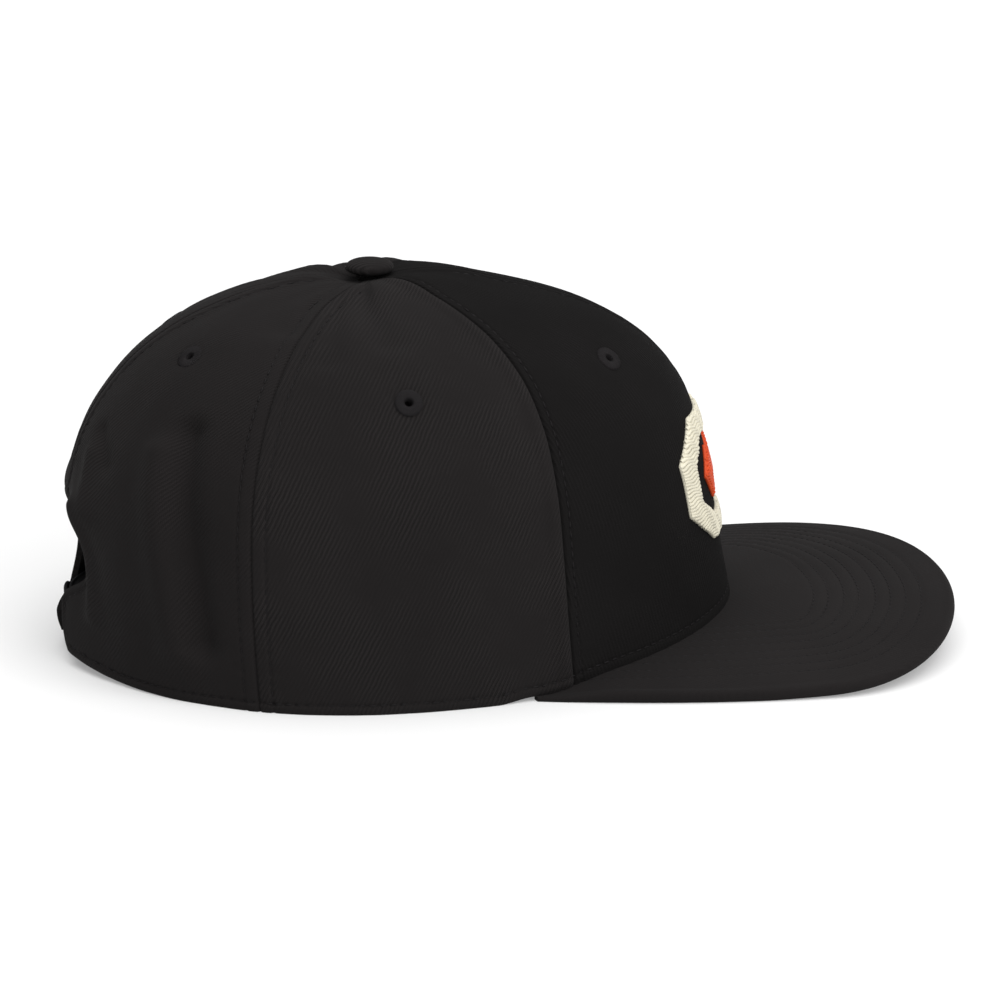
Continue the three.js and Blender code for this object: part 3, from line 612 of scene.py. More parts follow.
def grid_faces(rows, columns, start=0, flip=False, wrap=False):
    """Quads of a grid of points stored row by row."""
    i, j = np.meshgrid(np.arange(rows - 1), np.arange(columns if wrap else columns - 1), indexing="ij")
    nxt = (j + 1) % columns
    quads = np.stack([i * columns + j, i * columns + nxt, (i + 1) * columns + nxt, (i + 1) * columns + j], -1)
    quads = quads.reshape(-1, 4) + start
    return quads[:, ::-1] if flip else quads


def shell(name, outer, inner, uv=None, sharp=40):
    """A closed wall between two grids of points."""
    rows, columns = outer.shape[:2]
    count = rows * columns
    rim = []
    index = np.arange(count).reshape(rows, columns)
    for line in (index[0], index[-1][::-1], index[:, 0][::-1], index[:, -1]):
        rim.append(np.stack([line[:-1], line[:-1] + count, line[1:] + count, line[1:]], -1))
    faces = np.concatenate([grid_faces(rows, columns), grid_faces(rows, columns, count, flip=True)] + rim)
    if uv is not None:
        uv = np.concatenate([uv.reshape(-1, 2), uv.reshape(-1, 2)])
    return mesh_object(name, np.concatenate([outer.reshape(-1, 3), inner.reshape(-1, 3)]), faces, uv, sharp)


def lines_object(name, lines):
    """Polylines with the way out of the surface at each point, for stitches and threads to follow."""
    points, ups, edges, start = [], [], [], 0
    for line, up in lines:
        points.append(line)
        ups.append(up)
        edges += [(start + k, start + k + 1) for k in range(len(line) - 1)]
        start += len(line)
    mesh = bpy.data.meshes.new(name)
    mesh.from_pydata((np.concatenate(points) * MM).tolist(), edges, [])
    mesh.attributes.new("up", "FLOAT_VECTOR", "POINT").data.foreach_set("vector", np.concatenate(ups).ravel())
    obj = bpy.data.objects.new(name, mesh)
    bpy.context.scene.collection.objects.link(obj)
    return obj


def add(tree, kind, links=None, **settings):
    """Adds a node with its settings, and its inputs set to values or linked to outputs."""
    node = tree.nodes.new(kind)
    for key, value in settings.items():
        setattr(node, key, value)
    for key, value in (links or {}).items():
        socket = node.inputs[key]
        if isinstance(value, bpy.types.NodeSocket):
            tree.links.new(value, socket)
        else:
            socket.default_value = value
    return node


def grown(obj, tree, values):
    """Runs a geometry tree on an object and keeps the result as its plain mesh."""
    modifier = obj.modifiers.new("grow", "NODES")
    modifier.node_group = tree
    for item in tree.interface.items_tree:
        if item.item_type == "SOCKET" and item.in_out == "INPUT" and item.name in values:
            modifier[item.identifier] = values[item.name]
    graph = bpy.context.evaluated_depsgraph_get()
    mesh = bpy.data.meshes.new_from_object(obj.evaluated_get(graph), preserve_all_data_layers=True,
                                           depsgraph=graph)
    obj.modifiers.clear()
    mesh.name = obj.name
    obj.data = mesh
    return obj


def new_tree(name, inputs):
    """A geometry tree with a geometry in and out and the named inputs."""
    if name in bpy.data.node_groups:
        return bpy.data.node_groups[name], None, None
    tree = bpy.data.node_groups.new(name, "GeometryNodeTree")
    tree.interface.new_socket("Geometry", in_out="INPUT", socket_type="NodeSocketGeometry")
    for label, kind, default in inputs:
        socket = tree.interface.new_socket(label, in_out="INPUT", socket_type=kind)
        if default is not None:
            socket.default_value = default
    tree.interface.new_socket("Geometry", in_out="OUTPUT", socket_type="NodeSocketGeometry")
    return tree, add(tree, "NodeGroupInput"), add(tree, "NodeGroupOutput")


def stitch_tree():
    """Stitches laid end to end along lines: each a slim bead of thread that lies on the cloth."""
    tree, start, end = new_tree("stitch_rows", (
        ("Pitch", "NodeSocketFloat", 0.0031), ("Length", "NodeSocketFloat", 0.0024),
        ("Width", "NodeSocketFloat", 0.0005), ("Height", "NodeSocketFloat", 0.0004),
        ("Wander", "NodeSocketFloat", 0.06), ("Turn", "NodeSocketFloat", 0.0),
        ("Seed", "NodeSocketInt", 7), ("Material", "NodeSocketMaterial", None)))
    if start is None:
        return tree
    given = start.outputs
    curve = add(tree, "GeometryNodeMeshToCurve", {"Mesh": given["Geometry"]})
    even = add(tree, "GeometryNodeResampleCurve", {"Curve": curve.outputs[0]})
    even.mode = "LENGTH"
    tree.links.new(given["Pitch"], even.inputs["Length"])
    bead = add(tree, "GeometryNodeMeshUVSphere", {"Segments": 8, "Rings": 5, "Radius": 0.5})
    tangent = add(tree, "GeometryNodeInputTangent")
    up = add(tree, "GeometryNodeInputNamedAttribute", {"Name": "up"}, data_type="FLOAT_VECTOR")
    along = add(tree, "FunctionNodeAlignRotationToVector", {"Vector": tangent.outputs[0]}, axis="X")
    upright = add(tree, "FunctionNodeAlignRotationToVector",
                  {"Rotation": along.outputs[0], "Vector": up.outputs["Attribute"]}, axis="Z", pivot_axis="X")
    wander = add(tree, "FunctionNodeRandomValue", {"Seed": given["Seed"]}, data_type="FLOAT")
    low = add(tree, "ShaderNodeMath", {0: given["Wander"], 1: -1.0}, operation="MULTIPLY")
    tree.links.new(low.outputs[0], wander.inputs[2])
    tree.links.new(given["Wander"], wander.inputs[3])
    heading = add(tree, "ShaderNodeMath", {0: wander.outputs[1], 1: given["Turn"]}, operation="ADD")
    swing = add(tree, "ShaderNodeCombineXYZ", {"Z": heading.outputs[0]})
    facing = add(tree, "FunctionNodeRotateRotation",
                 {"Rotation": upright.outputs[0], "Rotate By": swing.outputs[0]}, rotation_space="LOCAL")
    size = add(tree, "ShaderNodeCombineXYZ",
               {"X": given["Length"], "Y": given["Width"], "Z": given["Height"]})
    laid = add(tree, "GeometryNodeInstanceOnPoints",
               {"Points": even.outputs[0], "Instance": bead.outputs[0], "Rotation": facing.outputs[0],
                "Scale": size.outputs[0]})
    real = add(tree, "GeometryNodeRealizeInstances", {"Geometry": laid.outputs[0]})
    soft = add(tree, "GeometryNodeSetShadeSmooth", {"Geometry": real.outputs[0]})
    sewn = add(tree, "GeometryNodeSetMaterial", {"Geometry": soft.outputs[0], "Material": given["Material"]})
    tree.links.new(sewn.outputs[0], end.inputs[0])
    return tree


def thread_tree():
    """Threads laid along lines: each a closed round tube."""
    tree, start, end = new_tree("laid_threads", (
        ("Radius", "NodeSocketFloat", 0.0004), ("Sides", "NodeSocketInt", 8),
        ("Material", "NodeSocketMaterial", None)))
    if start is None:
        return tree
    given = start.outputs
    curve = add(tree, "GeometryNodeMeshToCurve", {"Mesh": given["Geometry"]})
    round_ = add(tree, "GeometryNodeCurvePrimitiveCircle",
                 {"Resolution": given["Sides"], "Radius": given["Radius"]}, mode="RADIUS")
    tube = add(tree, "GeometryNodeCurveToMesh", {"Curve": curve.outputs[0],
                                                 "Profile Curve": round_.outputs[0], "Fill Caps": True})
    real = add(tree, "GeometryNodeRealizeInstances", {"Geometry": tube.outputs[0]})
    soft = add(tree, "GeometryNodeSetShadeSmooth", {"Geometry": real.outputs[0]})
    laid = add(tree, "GeometryNodeSetMaterial", {"Geometry": soft.outputs[0], "Material": given["Material"]})
    tree.links.new(laid.outputs[0], end.inputs[0])
    return tree


def shader(name, roughness, sheen, specular):
    """An empty material with its main shader, ready for the nodes that colour and raise it."""
    material = bpy.data.materials.new(name)
    material.use_nodes = True
    tree = material.node_tree
    main = next(n for n in tree.nodes if n.type == "BSDF_PRINCIPLED")
    main.inputs["Roughness"].default_value = roughness
    main.inputs["Sheen Weight"].default_value = sheen
    main.inputs["Sheen Roughness"].default_value = 0.6
    main.inputs["Specular IOR Level"].default_value = specular
    return material, tree, main


def maths(tree, operation, *values):
    """A value worked out from one or two others."""
    return add(tree, "ShaderNodeMath", dict(enumerate(values)), operation=operation).outputs[0]


def noise(tree, place, scale, detail):
    return add(tree, "ShaderNodeTexNoise", {"Vector": place, "Scale": scale, "Detail": detail}).outputs[0]


def ramp(tree, value, start, end, low, high):
    """Maps a value that runs from start to end on to the range from low to high."""
    return add(tree, "ShaderNodeMapRange", {"Value": value, "From Min": start, "From Max": end,
                                            "To Min": low, "To Max": high}).outputs[0]


def painted(tree, main, value, tone):
    """Gives the shader a colour that a tone makes lighter and darker from place to place."""
    mix = add(tree, "ShaderNodeMix", {"Factor": 1.0}, data_type="RGBA", blend_type="MULTIPLY")
    mix.inputs["A"].default_value = value
    tree.links.new(tone, mix.inputs["B"])
    tree.links.new(mix.outputs["Result"], main.inputs["Base Color"])


def raised(tree, main, height, depth, strength):
    """Raises the surface by a height, up to a depth in mm."""
    bump = add(tree, "ShaderNodeBump", {"Height": height, "Distance": depth * MM, "Strength": strength})
    tree.links.new(bump.outputs[0], main.inputs["Normal"])


def cotton_twill(name, value, pitch, depth, weave_shade, sheen=0.012, specular=0.06):
    """Charcoal cotton twill, woven: slanted ridges of yarn that catch the light in patches, broken
    by the finer cross yarns, with a matt, slightly fuzzy face. Its colour carries painted light and
    shade of the weave: lighter on the raised yarn, darker in the grooves. Pitch and depth are in mm."""
    yarn_pitch = 0.62
    material, tree, main = shader(name, 0.9, sheen, specular)
    place = add(tree, "ShaderNodeUVMap", uv_map="cloth").outputs[0]
    split = add(tree, "ShaderNodeSeparateXYZ", {0: place}).outputs
    bend = maths(tree, "MULTIPLY", noise(tree, place, 0.22, 2.0), 0.9)
    across = maths(tree, "ADD", split[0], bend)
    ridge = maths(tree, "SINE", maths(tree, "MULTIPLY", across, 2 * math.pi / pitch))
    along = maths(tree, "ADD", split[1], maths(tree, "MULTIPLY", split[0], 0.7))
    yarn = maths(tree, "SINE", maths(tree, "MULTIPLY", along, 2 * math.pi / yarn_pitch))
    weave = maths(tree, "ADD", ridge, maths(tree, "MULTIPLY", yarn, 0.35))
    fibre = maths(tree, "MULTIPLY", noise(tree, place, 2.4, 3.0), 1.5)
    shown = ramp(tree, noise(tree, place, 0.045, 3.0), 0.4, 0.6, 0.12, 1.0)
    face = maths(tree, "MULTIPLY", maths(tree, "ADD", weave, fibre), shown)
    raised(tree, main, face, depth, 1.0)
    # Painted light and shade of the weave: the colour is lighter on the raised yarn and darker in the
    # grooves.
    tone = ramp(tree, face, -1.4, 2.4, 1 - 0.34 * weave_shade, 1 + 0.42 * weave_shade)
    dyed = ramp(tree, noise(tree, place, 0.018, 3.0), 0.3, 0.7, 0.88, 1.12)
    painted(tree, main, value, maths(tree, "MULTIPLY", tone, dyed))
    return material


def polyester_thread(name, value, roughness=0.6, squeeze=1.0, depth=0.03, vary=0.14):
    """Spun polyester or rayon thread: fine strands along it that give it a soft gloss. The squeeze
    draws the strands out across the badge, the way its threads run; depth is in mm."""
    material, tree, main = shader(name, roughness, 0.0, 0.12)
    place = add(tree, "ShaderNodeTexCoord").outputs["Object"]
    turn = add(tree, "ShaderNodeMapping", {"Vector": place, "Scale": (squeeze, squeeze, 1.0)}).outputs[0]
    strands = noise(tree, turn, 1 / (STRAND * MM) / 6, 3.0)
    raised(tree, main, strands, depth, 0.8)
    mixed = maths(tree, "ADD", strands, noise(tree, place, 160.0, 2.0))
    painted(tree, main, value, ramp(tree, mixed, 0.7, 1.3, 1 - vary, 1 + vary * 0.6))
    return material


def moulded_plastic(name, value):
    """Injection-moulded polyethylene: black, satin, with the fine spark-eroded grain of its mould."""
    material, tree, main = shader(name, 0.6, 0.0, 0.05)
    place = add(tree, "ShaderNodeTexCoord").outputs["Object"]
    raised(tree, main, noise(tree, place, 2600.0, 2.0), 0.02, 0.6)
    scuff = noise(tree, place, 120.0, 4.0)
    tree.links.new(ramp(tree, scuff, 0.3, 0.7, 0.55, 0.7), main.inputs["Roughness"])
    painted(tree, main, value, ramp(tree, scuff, 0.3, 0.7, 0.85, 1.2))
    return material


# For each colour: the material's name, what makes it, and the rest of that maker's values.
FINISHES = {
    # The front twill is a darker copy of the side twill; its colour is painted shade.
    "front_cloth": ("cotton_twill_front", cotton_twill, (1.25, 0.06, 0.5, 0.004, 0.03)),
    "soft_cloth": ("cotton_twill_side", cotton_twill, (1.2, 0.15, 1.7)),
    # The rear twill is a darker copy of the side twill; its colour is painted shade.
    "rear_cloth": ("cotton_twill_rear", cotton_twill, (1.1, 0.07, 0.6)),
    # The peak twill is a slightly darker copy of the side twill; its colour is painted shade.
    "peak_cloth": ("cotton_twill_peak", cotton_twill, (1.1, 0.025, 0.2)),
    "dark_thread": ("polyester_thread_dark", polyester_thread, ()),
    "eyelet_thread": ("polyester_thread_eyelet", polyester_thread, (0.8,)),
    "strap_plastic": ("moulded_plastic_black", moulded_plastic, ()),
    "cream_thread": ("rayon_thread_cream", polyester_thread, (0.5, 0.12, 0.05, 0.1)),
    "orange_thread": ("rayon_thread_orange", polyester_thread, (0.5, 0.12, 0.05, 0.12)),
}


def material_for(finish):
    """The material for a slot, the rear panels or the eyelets, made on its first use."""
    name, make, values = FINISHES[finish]
    colour_now = tuple(getattr(bpy.context.scene.cap_colours, finish))
    return bpy.data.materials.get(name) or make(name, colour_now, *values)


def fit(piece, slot, *nodes, finish=None):
    """Finishes a piece: its material, chosen by its slot or its finish, its body, and the solids it stands
    for, which it hides.
    """
    piece.data.materials.clear()
    piece.data.materials.append(material_for(finish or slot))
    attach(piece, "root")
    if nodes:
        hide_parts(*nodes)
    return piece


def bored(piece, cutters):
    """Cuts holes through a closed piece."""
    for cutter in cutters:
        modifier = piece.modifiers.new("bore", "BOOLEAN")
        modifier.operation = "DIFFERENCE"
        modifier.solver = "MANIFOLD"
        modifier.object = cutter
    graph = bpy.context.evaluated_depsgraph_get()
    mesh = bpy.data.meshes.new_from_object(piece.evaluated_get(graph), preserve_all_data_layers=True,
                                           depsgraph=graph)
    piece.modifiers.clear()
    mesh.name = piece.name
    piece.data = mesh
    for cutter in cutters:
        bpy.data.objects.remove(cutter)
    return piece


def rod(radius, half_length):
    """The lathe's profile for a plain cylinder."""
    return [(0, -half_length), (radius, -half_length), (radius, half_length), (0, half_length)]


def lathe(name, profile, centre, axis, segments):
    """A closed turned shape. The profile is radius and height along the axis, in mm; a profile
    that starts and ends off the axis closes on itself."""
    axis = Vector(axis).normalized()
    turn = axis.to_track_quat("Z", "Y").to_matrix()
    ring = np.linspace(0, 2 * math.pi, segments, endpoint=False)
    profile = np.asarray(profile, float)
    local = np.stack([profile[:, None, 0] * np.cos(ring), profile[:, None, 0] * np.sin(ring),
                      profile[:, None, 1] + 0 * ring], -1)
    points = local @ np.array(turn).T + np.asarray(centre)
    mesh = bpy.data.meshes.new(name)
    rows = len(profile)
    closed = profile[0, 0] > 1e-6
    if closed:
        faces = [[i * segments + j, i * segments + (j + 1) % segments,
                  ((i + 1) % rows) * segments + (j + 1) % segments, ((i + 1) % rows) * segments + j]
                 for i in range(rows) for j in range(segments)]
    else:
        faces = grid_faces(rows, segments, wrap=True).tolist()
    mesh.from_pydata((points.reshape(-1, 3) * MM).tolist(), [], faces)
    build = bmesh.new()
    build.from_mesh(mesh)
    bmesh.ops.remove_doubles(build, verts=build.verts, dist=1e-6)
    bmesh.ops.recalc_face_normals(build, faces=build.faces)
    build.to_mesh(mesh)
    build.free()
    layer = mesh.uv_layers.new(name="cloth")
    flat = np.linalg.inv(np.array(turn))
    corners = np.array([mesh.vertices[loop.vertex_index].co[:] for loop in mesh.loops]) / MM
    layer.data.foreach_set("uv", ((corners - np.asarray(centre)) @ flat.T)[:, :2].ravel())
    mesh.polygons.foreach_set("use_smooth", np.ones(len(mesh.polygons), bool))
    mesh.set_sharp_from_angle(angle=math.radians(50))
    obj = bpy.data.objects.new(name, mesh)
    bpy.context.scene.collection.objects.link(obj)
    return obj


def tube(name, loops, uv=None, sharp=40):
    """A closed skin over a row of loops with capped ends. Each loop runs along one face and back."""
    rows, size = loops.shape[:2]
    faces = [grid_faces(rows, size, wrap=True)]
    j = np.arange(size // 2 - 1)
    cap = np.stack([j, size - 1 - j, size - 2 - j, j + 1], -1)
    faces.append(cap)
    faces.append(cap[:, ::-1] + (rows - 1) * size)
    return mesh_object(name, loops, np.concatenate(faces), uv, sharp)


class CAP_OT_crown(bpy.types.Operator):
    """Sews the six cloth panels of the crown"""
    bl_idname = "cap.crown"
    bl_label = "Crown panels"

    def execute(self, context):
        sizes = context.scene.cap_sizes
        cap = Pattern(sizes)
        columns, rows = 128, 150
        t = np.linspace(0, 1, columns)
        along = t - 0.62 * np.sin(2 * math.pi * t) / (2 * math.pi)
        t = np.linspace(0, 1, rows)
        up = t - 0.6 * np.sin(math.pi * t) / math.pi
        up = (up - up[0]) / (up[-1] - up[0])
        for side, label in ((1, "right"), (-1, "left")):
            for panel, eye in zip(PANELS, EYELETS):
                angle, walk = cap.place(panel, side, along[None], up[:, None])
                angle, walk = np.broadcast_arrays(angle, walk)
                normal = cap.normal(angle, walk)
                base = cap.crown(angle, walk)
                out = cap.relief(panel, side, angle, walk)
                outer = base + normal * out[..., None]
                inner = base + normal * (0.5 * np.minimum(out, 0.3) - sizes.cloth)[..., None]
                outer[..., 2] = np.maximum(outer[..., 2], 0.02)
                inner[..., 2] = np.maximum(inner[..., 2], 0.02)
                piece = shell(f"crown_{panel['name']}_{label}_cloth", outer, inner,
                              self.cloth_grain(cap, panel, side, angle, walk))
                place, rise = np.array(side * math.radians(eye["angle"])), np.array(eye["walk"])
                cutter = lathe("eyelet_cutter", rod(1.75, 8), cap.crown(place, rise),
                               cap.normal(place, rise), 24)
                bored(piece, [cutter])
                # The rear panels take the rear twill, whose darker colour is painted shade.
                fit(piece, "front_cloth" if panel["name"] == "front" else "soft_cloth",
                    f"crown_{panel['name']}_{label}",
                    finish="rear_cloth" if panel["name"] == "rear" else None)
        return {"FINISHED"}

    def cloth_grain(self, cap, panel, side, angle, walk):
        """Where each point lies on the flat cloth, in mm, turned so that the twill runs along v."""
        u = -side * cap.girth(panel, side, angle, walk)
        v = np.interp(walk, cap.walks, cap.meridian())
        lean = math.radians(panel["twill"])
        turned, upright = math.sin(lean), math.cos(lean)
        return np.stack([u * upright + v * turned, v * upright - u * turned], -1)


class CAP_OT_stitches(bpy.types.Operator):
    """Sews the rows of stitches on the crown: beside the seams, round the rim and up the arch"""
    bl_idname = "cap.stitches"
    bl_label = "Crown stitches"

    def execute(self, context):
        sizes = context.scene.cap_sizes
        cap = Pattern(sizes)
        for side, label in ((1, "right"), (-1, "left")):
            lines = []
            for panel in PANELS:
                lines += self.seam_rows(cap, panel, side)
                lines.append(self.hem_row(cap, panel, side))
            piece = lines_object(f"crown_stitches_{label}", lines)
            grown(piece, stitch_tree(), {
                "Pitch": sizes.stitch_pitch * MM, "Length": sizes.stitch_length * MM,
                "Width": sizes.thread * MM, "Height": 0.8 * sizes.thread * MM,
                "Material": material_for("dark_thread")})
            fit(piece, "dark_thread")
        return {"FINISHED"}

    def seam_rows(self, cap, panel, side):
        """The rows beside a panel's two seams; above the arch on the rear one."""
        lines = []
        for edge, row, turn in ((panel["start"], panel["row_start"], 1),
                                (panel["end"], panel["row_end"], -1)):
            if not row:
                continue
            walk = np.linspace(0.02, 0.95, 160)
            if panel["name"] == "rear" and edge == 180.0:
                walk = np.linspace(0.385, 0.95, 120)
            base = np.full_like(walk, side * math.radians(edge))
            pace = np.linalg.norm(cap.rates(base, walk)[0], axis=-1)
            angle = base + side * turn * row / pace
            keep = pace > 11
            lines.append(cap.cloth_point(panel, side, angle[keep], walk[keep], 0.04))
        return lines

    def hem_row(self, cap, panel, side):
        """The row inside a panel's lower edge, left out where a corner crowds it."""
        if panel["name"] == "rear":
            angle, walk = cap.arch_edge(side)
            angle = cap.drawn_in(side, side * angle, walk)
        else:
            angle = side * np.radians(np.linspace(panel["start"], panel["end"], 120))
            walk = np.zeros(120)
        points = cap.crown(angle, walk)
        round_, up = cap.rates(angle, walk)
        along = np.gradient(points, axis=0)
        inward = np.cross(along, np.cross(up, round_))
        inward *= cap.s.hem / np.linalg.norm(inward, axis=-1, keepdims=True)
        inward *= np.sign((inward[0] * up[0]).sum())
        frames = np.stack([round_, up], axis=-1)
        step = np.stack([np.linalg.lstsq(frame, way, rcond=None)[0] for frame, way in zip(frames, inward)])
        angle, walk = angle + step[:, 0], walk + step[:, 1]
        clear = cap.edge_gap(panel, side, cap.crown(angle, walk)) > 0.9 * cap.s.hem
        return cap.cloth_point(panel, side, angle[clear], walk[clear], 0.04)


class CAP_OT_button(bpy.types.Operator):
    """Covers the button at the top of the crown"""
    bl_idname = "cap.button"
    bl_label = "Covered button"

    def execute(self, context):
        s = context.scene.cap_sizes
        cap = Pattern(s)
        r, sunk = s.button_radius, 2.0
        middle = 0.38 * (s.button_height + sunk) - sunk
        top, low = s.button_height - 0.75 - middle, middle + sunk
        turn = np.linspace(-0.5 * math.pi, 0.5 * math.pi, 40)
        reach = r * np.cos(turn) ** (2 / 2.5)
        reach[0] = reach[-1] = 0.0
        bent = np.sign(np.sin(turn)) * np.abs(np.sin(turn)) ** (2 / 2.2)
        rise = middle + np.where(turn > 0, top, low) * bent
        profile = list(zip(reach, rise))
        self.seat = (0, cap.shift - s.button_forward, s.crown_height * CROWN_SECTIONS[-1]["height"] + GAP / 2)
        piece = lathe("button_cover", profile, self.seat, (0, 0, 1), 72)
        self.gather(piece, r, sunk, s.button_height)
        fit(piece, "soft_cloth", "crown_button")
        return {"FINISHED"}

    def gather(self, piece, r, sunk, height):
        """Small pleats where the cover is drawn in under the button."""
        points = np.empty(len(piece.data.vertices) * 3)
        piece.data.vertices.foreach_get("co", points)
        points = points.reshape(-1, 3) / MM
        x, y, z = (points - self.seat).T
        reach = np.hypot(x, y)
        way = np.arctan2(y, x)
        low = smooth(0.2 * height, -0.7 * sunk, z) * smooth(0.5 * r, 0.9 * r, reach)
        grow = 1 + low * 0.014 * np.cos(17 * way + np.sin(3 * way)) + 0.005 * speckle(way * 4, z, 1.2, 14)
        points[:, 0] = x * grow
        points[:, 1] = y * grow + self.seat[1]
        points[:, 2] += 0.1 * speckle(x, y, 3.5, 15) * smooth(0.5 * height, height, z)
        piece.data.vertices.foreach_set("co", (points * MM).ravel())
        piece.data.update()


class CAP_OT_eyelets(bpy.types.Operator):
    """Sews the thread rings round the six eyelets"""
    bl_idname = "cap.eyelets"
    bl_label = "Eyelets"

    def execute(self, context):
        s = context.scene.cap_sizes
        cap = Pattern(s)
        for side, label in ((1, "right"), (-1, "left")):
            for eye in EYELETS:
                angle = side * math.radians(eye["angle"])
                centre = cap.crown(angle, eye["walk"])
                out = cap.normal(np.array(angle), np.array(eye["walk"]))
                name = f"eyelet_{eye['panel']}_{label}"
                hole, rim = s.eyelet_hole, s.eyelet_radius
                middle, half = (hole + rim) / 2, (rim - hole) / 2
                turn = np.linspace(0, math.pi, 10)
                profile = [(middle + half * math.cos(a), 0.36 * math.sin(a) - 0.35) for a in turn]
                profile += [(hole, -s.cloth - 0.4), (hole + 0.55, -s.cloth - 0.4),
                            (hole + 0.6, -0.8), (rim, -0.8)]
                ring = lathe(f"{name}_ring", profile, centre, out, 40)
                fit(ring, "dark_thread", name, finish="eyelet_thread")
                self.wrap(s, name, centre, out, middle, half)
        return {"FINISHED"}

    def wrap(self, s, name, centre, out, middle, half):
        """Satin stitches laid across the ring, side by side round the hole."""
        count = 44
        turn = np.linspace(0, 2 * math.pi, count, endpoint=False)
        tilt = np.array(Vector(out).to_track_quat("Z", "Y").to_matrix())
        lying = np.stack([middle * np.cos(turn), middle * np.sin(turn), -0.16 + 0 * turn], -1)
        ring = lying @ tilt.T + centre
        ring = np.concatenate([ring, ring[:1]])
        piece = lines_object(f"{name}_thread", [(ring, np.repeat(out[None], len(ring), 0))])
        grown(piece, stitch_tree(), {
            "Pitch": 2 * math.pi * middle / count * MM, "Length": 2.12 * half * MM, "Width": 0.5 * MM,
            "Height": 0.6 * MM, "Turn": math.pi / 2, "Wander": 0.05,
            "Material": material_for("eyelet_thread")})
        fit(piece, "dark_thread", finish="eyelet_thread")


class CAP_OT_peak(bpy.types.Operator):
    """Makes the peak and sews its rings of stitches"""
    bl_idname = "cap.peak"
    bl_label = "Peak"

    def execute(self, context):
        s = context.scene.cap_sizes
        cap = Pattern(s)
        outline = self.outline(s, 421)
        corner = math.acos(s.peak_corner / s.front_reach)
        place = np.linspace(-1, 1, len(outline))
        angle = place * corner
        inner = np.stack([(s.half_width - s.cloth) * np.sin(angle),
                          (s.front_reach - s.cloth) * np.cos(angle)], -1)
        length = np.linalg.norm(outline - inner, axis=1)
        depth = cap.peak_depth(outline[:, 1])
        round_ = depth / 2
        flat = length - round_
        shares = np.linspace(0, 1, 78)
        nose = np.radians(np.linspace(84, -84, 15))
        reach = np.concatenate([flat[:, None] * shares, flat[:, None] + round_[:, None] * np.cos(nose),
                                flat[:, None] * shares[::-1]], 1)
        face = np.concatenate([np.ones(78), np.sin(nose), -np.ones(78)])
        at = inner[:, None] + (outline - inner)[:, None] * (reach / length[:, None])[..., None]
        bottom, thick = cap.peak_bottom(at[..., 0], at[..., 1]), cap.peak_depth(at[..., 1])
        gap = distance(at.reshape(-1, 2), outline).reshape(at.shape[:-1])
        out = self.relief(s, at, gap)
        z = bottom + thick / 2 + face * (thick / 2 + out * np.abs(face))
        z = np.maximum(z, 0.02)
        loops = np.stack([-at[..., 0], -at[..., 1] + cap.shift, z], -1)
        uv = np.stack([at[..., 0] * 0.94 + at[..., 1] * 0.34, at[..., 1] * 0.94 - at[..., 0] * 0.34], -1)
        piece = tube("peak_cover", loops, uv)
        fit(piece, "peak_cloth", "peak")
        self.sew(s, cap, outline)
        return {"FINISHED"}

    def outline(self, s, count):
        """Plan of the outer edge, from the left corner round the tip to the right one."""
        place = np.abs(np.linspace(-1, 1, count))
        along = 1 - place
        turn = 0.42
        corner_x = s.half_width * math.sqrt(1 - (s.peak_corner / s.front_reach) ** 2) + 1
        back = 1 - along / turn
        sweep = (along - turn) / (1 - turn) * math.pi / 2
        across = np.clip(np.cos(sweep), 0, 1) ** (2 / s.peak_square)
        ahead = np.clip(np.sin(sweep), 0, 1) ** (2 / s.peak_square)
        x = np.where(along < turn, s.peak_half_width - (s.peak_half_width - corner_x) * back ** 2,
                     s.peak_half_width * across)
        forward = np.where(along < turn, s.peak_widest - (s.peak_widest - s.peak_corner) * back,
                           s.peak_widest + (s.peak_tip - s.peak_trim - s.peak_widest) * ahead)
        return np.stack([np.sign(np.linspace(-1, 1, count)) * x, forward], -1)

    def pull(self, s, at):
        """How hard the rings are sewn: fully round the tip, lightly along the sides."""
        return 0.3 + 0.7 * smooth(s.peak_widest - 22, s.peak_widest + 12, at[..., 1])

    def relief(self, s, at, gap):
        """The cloth is drawn in along each ring and stands up a little between rings."""
        out = 0.10 * speckle(at[..., 0] + 200, at[..., 1], 14, 41)
        for row in PEAK_ROWS:
            out = out - 0.34 * self.pull(s, at) * bell(gap, row, 0.62)
        out = out - 0.12 * bell(gap, 3.4, 1.1)
        return out * smooth(1.0, 3.0, gap)

    def sew(self, s, cap, outline):
        """Rings of stitches on both faces, kept clear of the crown and of the corners."""
        run = np.gradient(outline, axis=0)
        run /= np.linalg.norm(run, axis=1, keepdims=True)
        inward = np.stack([run[:, 1], -run[:, 0]], -1)
        if (inward[len(inward) // 2] @ np.array([0.0, -1.0])) < 0:
            inward = -inward
        for face, label in ((1, "top"), (-1, "under")):
            lines = []
            for row in PEAK_ROWS:
                at = outline + inward * row
                clear = (at[:, 0] / (s.half_width + 0.8)) ** 2 + (at[:, 1] / (s.front_reach + 0.8)) ** 2 > 1
                clear &= at[:, 1] > s.peak_corner + 6
                at = at[clear]
                out = self.relief(s, at, np.full(len(at), row)) + 0.16 * self.pull(s, at) - 0.1
                bottom, thick = cap.peak_bottom(at[:, 0], at[:, 1]), cap.peak_depth(at[:, 1])
                z = bottom + thick + out if face > 0 else bottom - out
                line = np.stack([-at[:, 0], -at[:, 1] + cap.shift, z], -1)
                lines.append((line, np.repeat([[0.0, 0.0, float(face)]], len(line), 0)))
            piece = lines_object(f"peak_stitches_{label}", lines)
            grown(piece, stitch_tree(), {
                "Pitch": s.stitch_pitch * MM, "Length": s.stitch_length * MM, "Width": s.thread * MM,
                "Height": 0.8 * s.thread * MM, "Seed": 12, "Material": material_for("dark_thread")})
            fit(piece, "dark_thread")


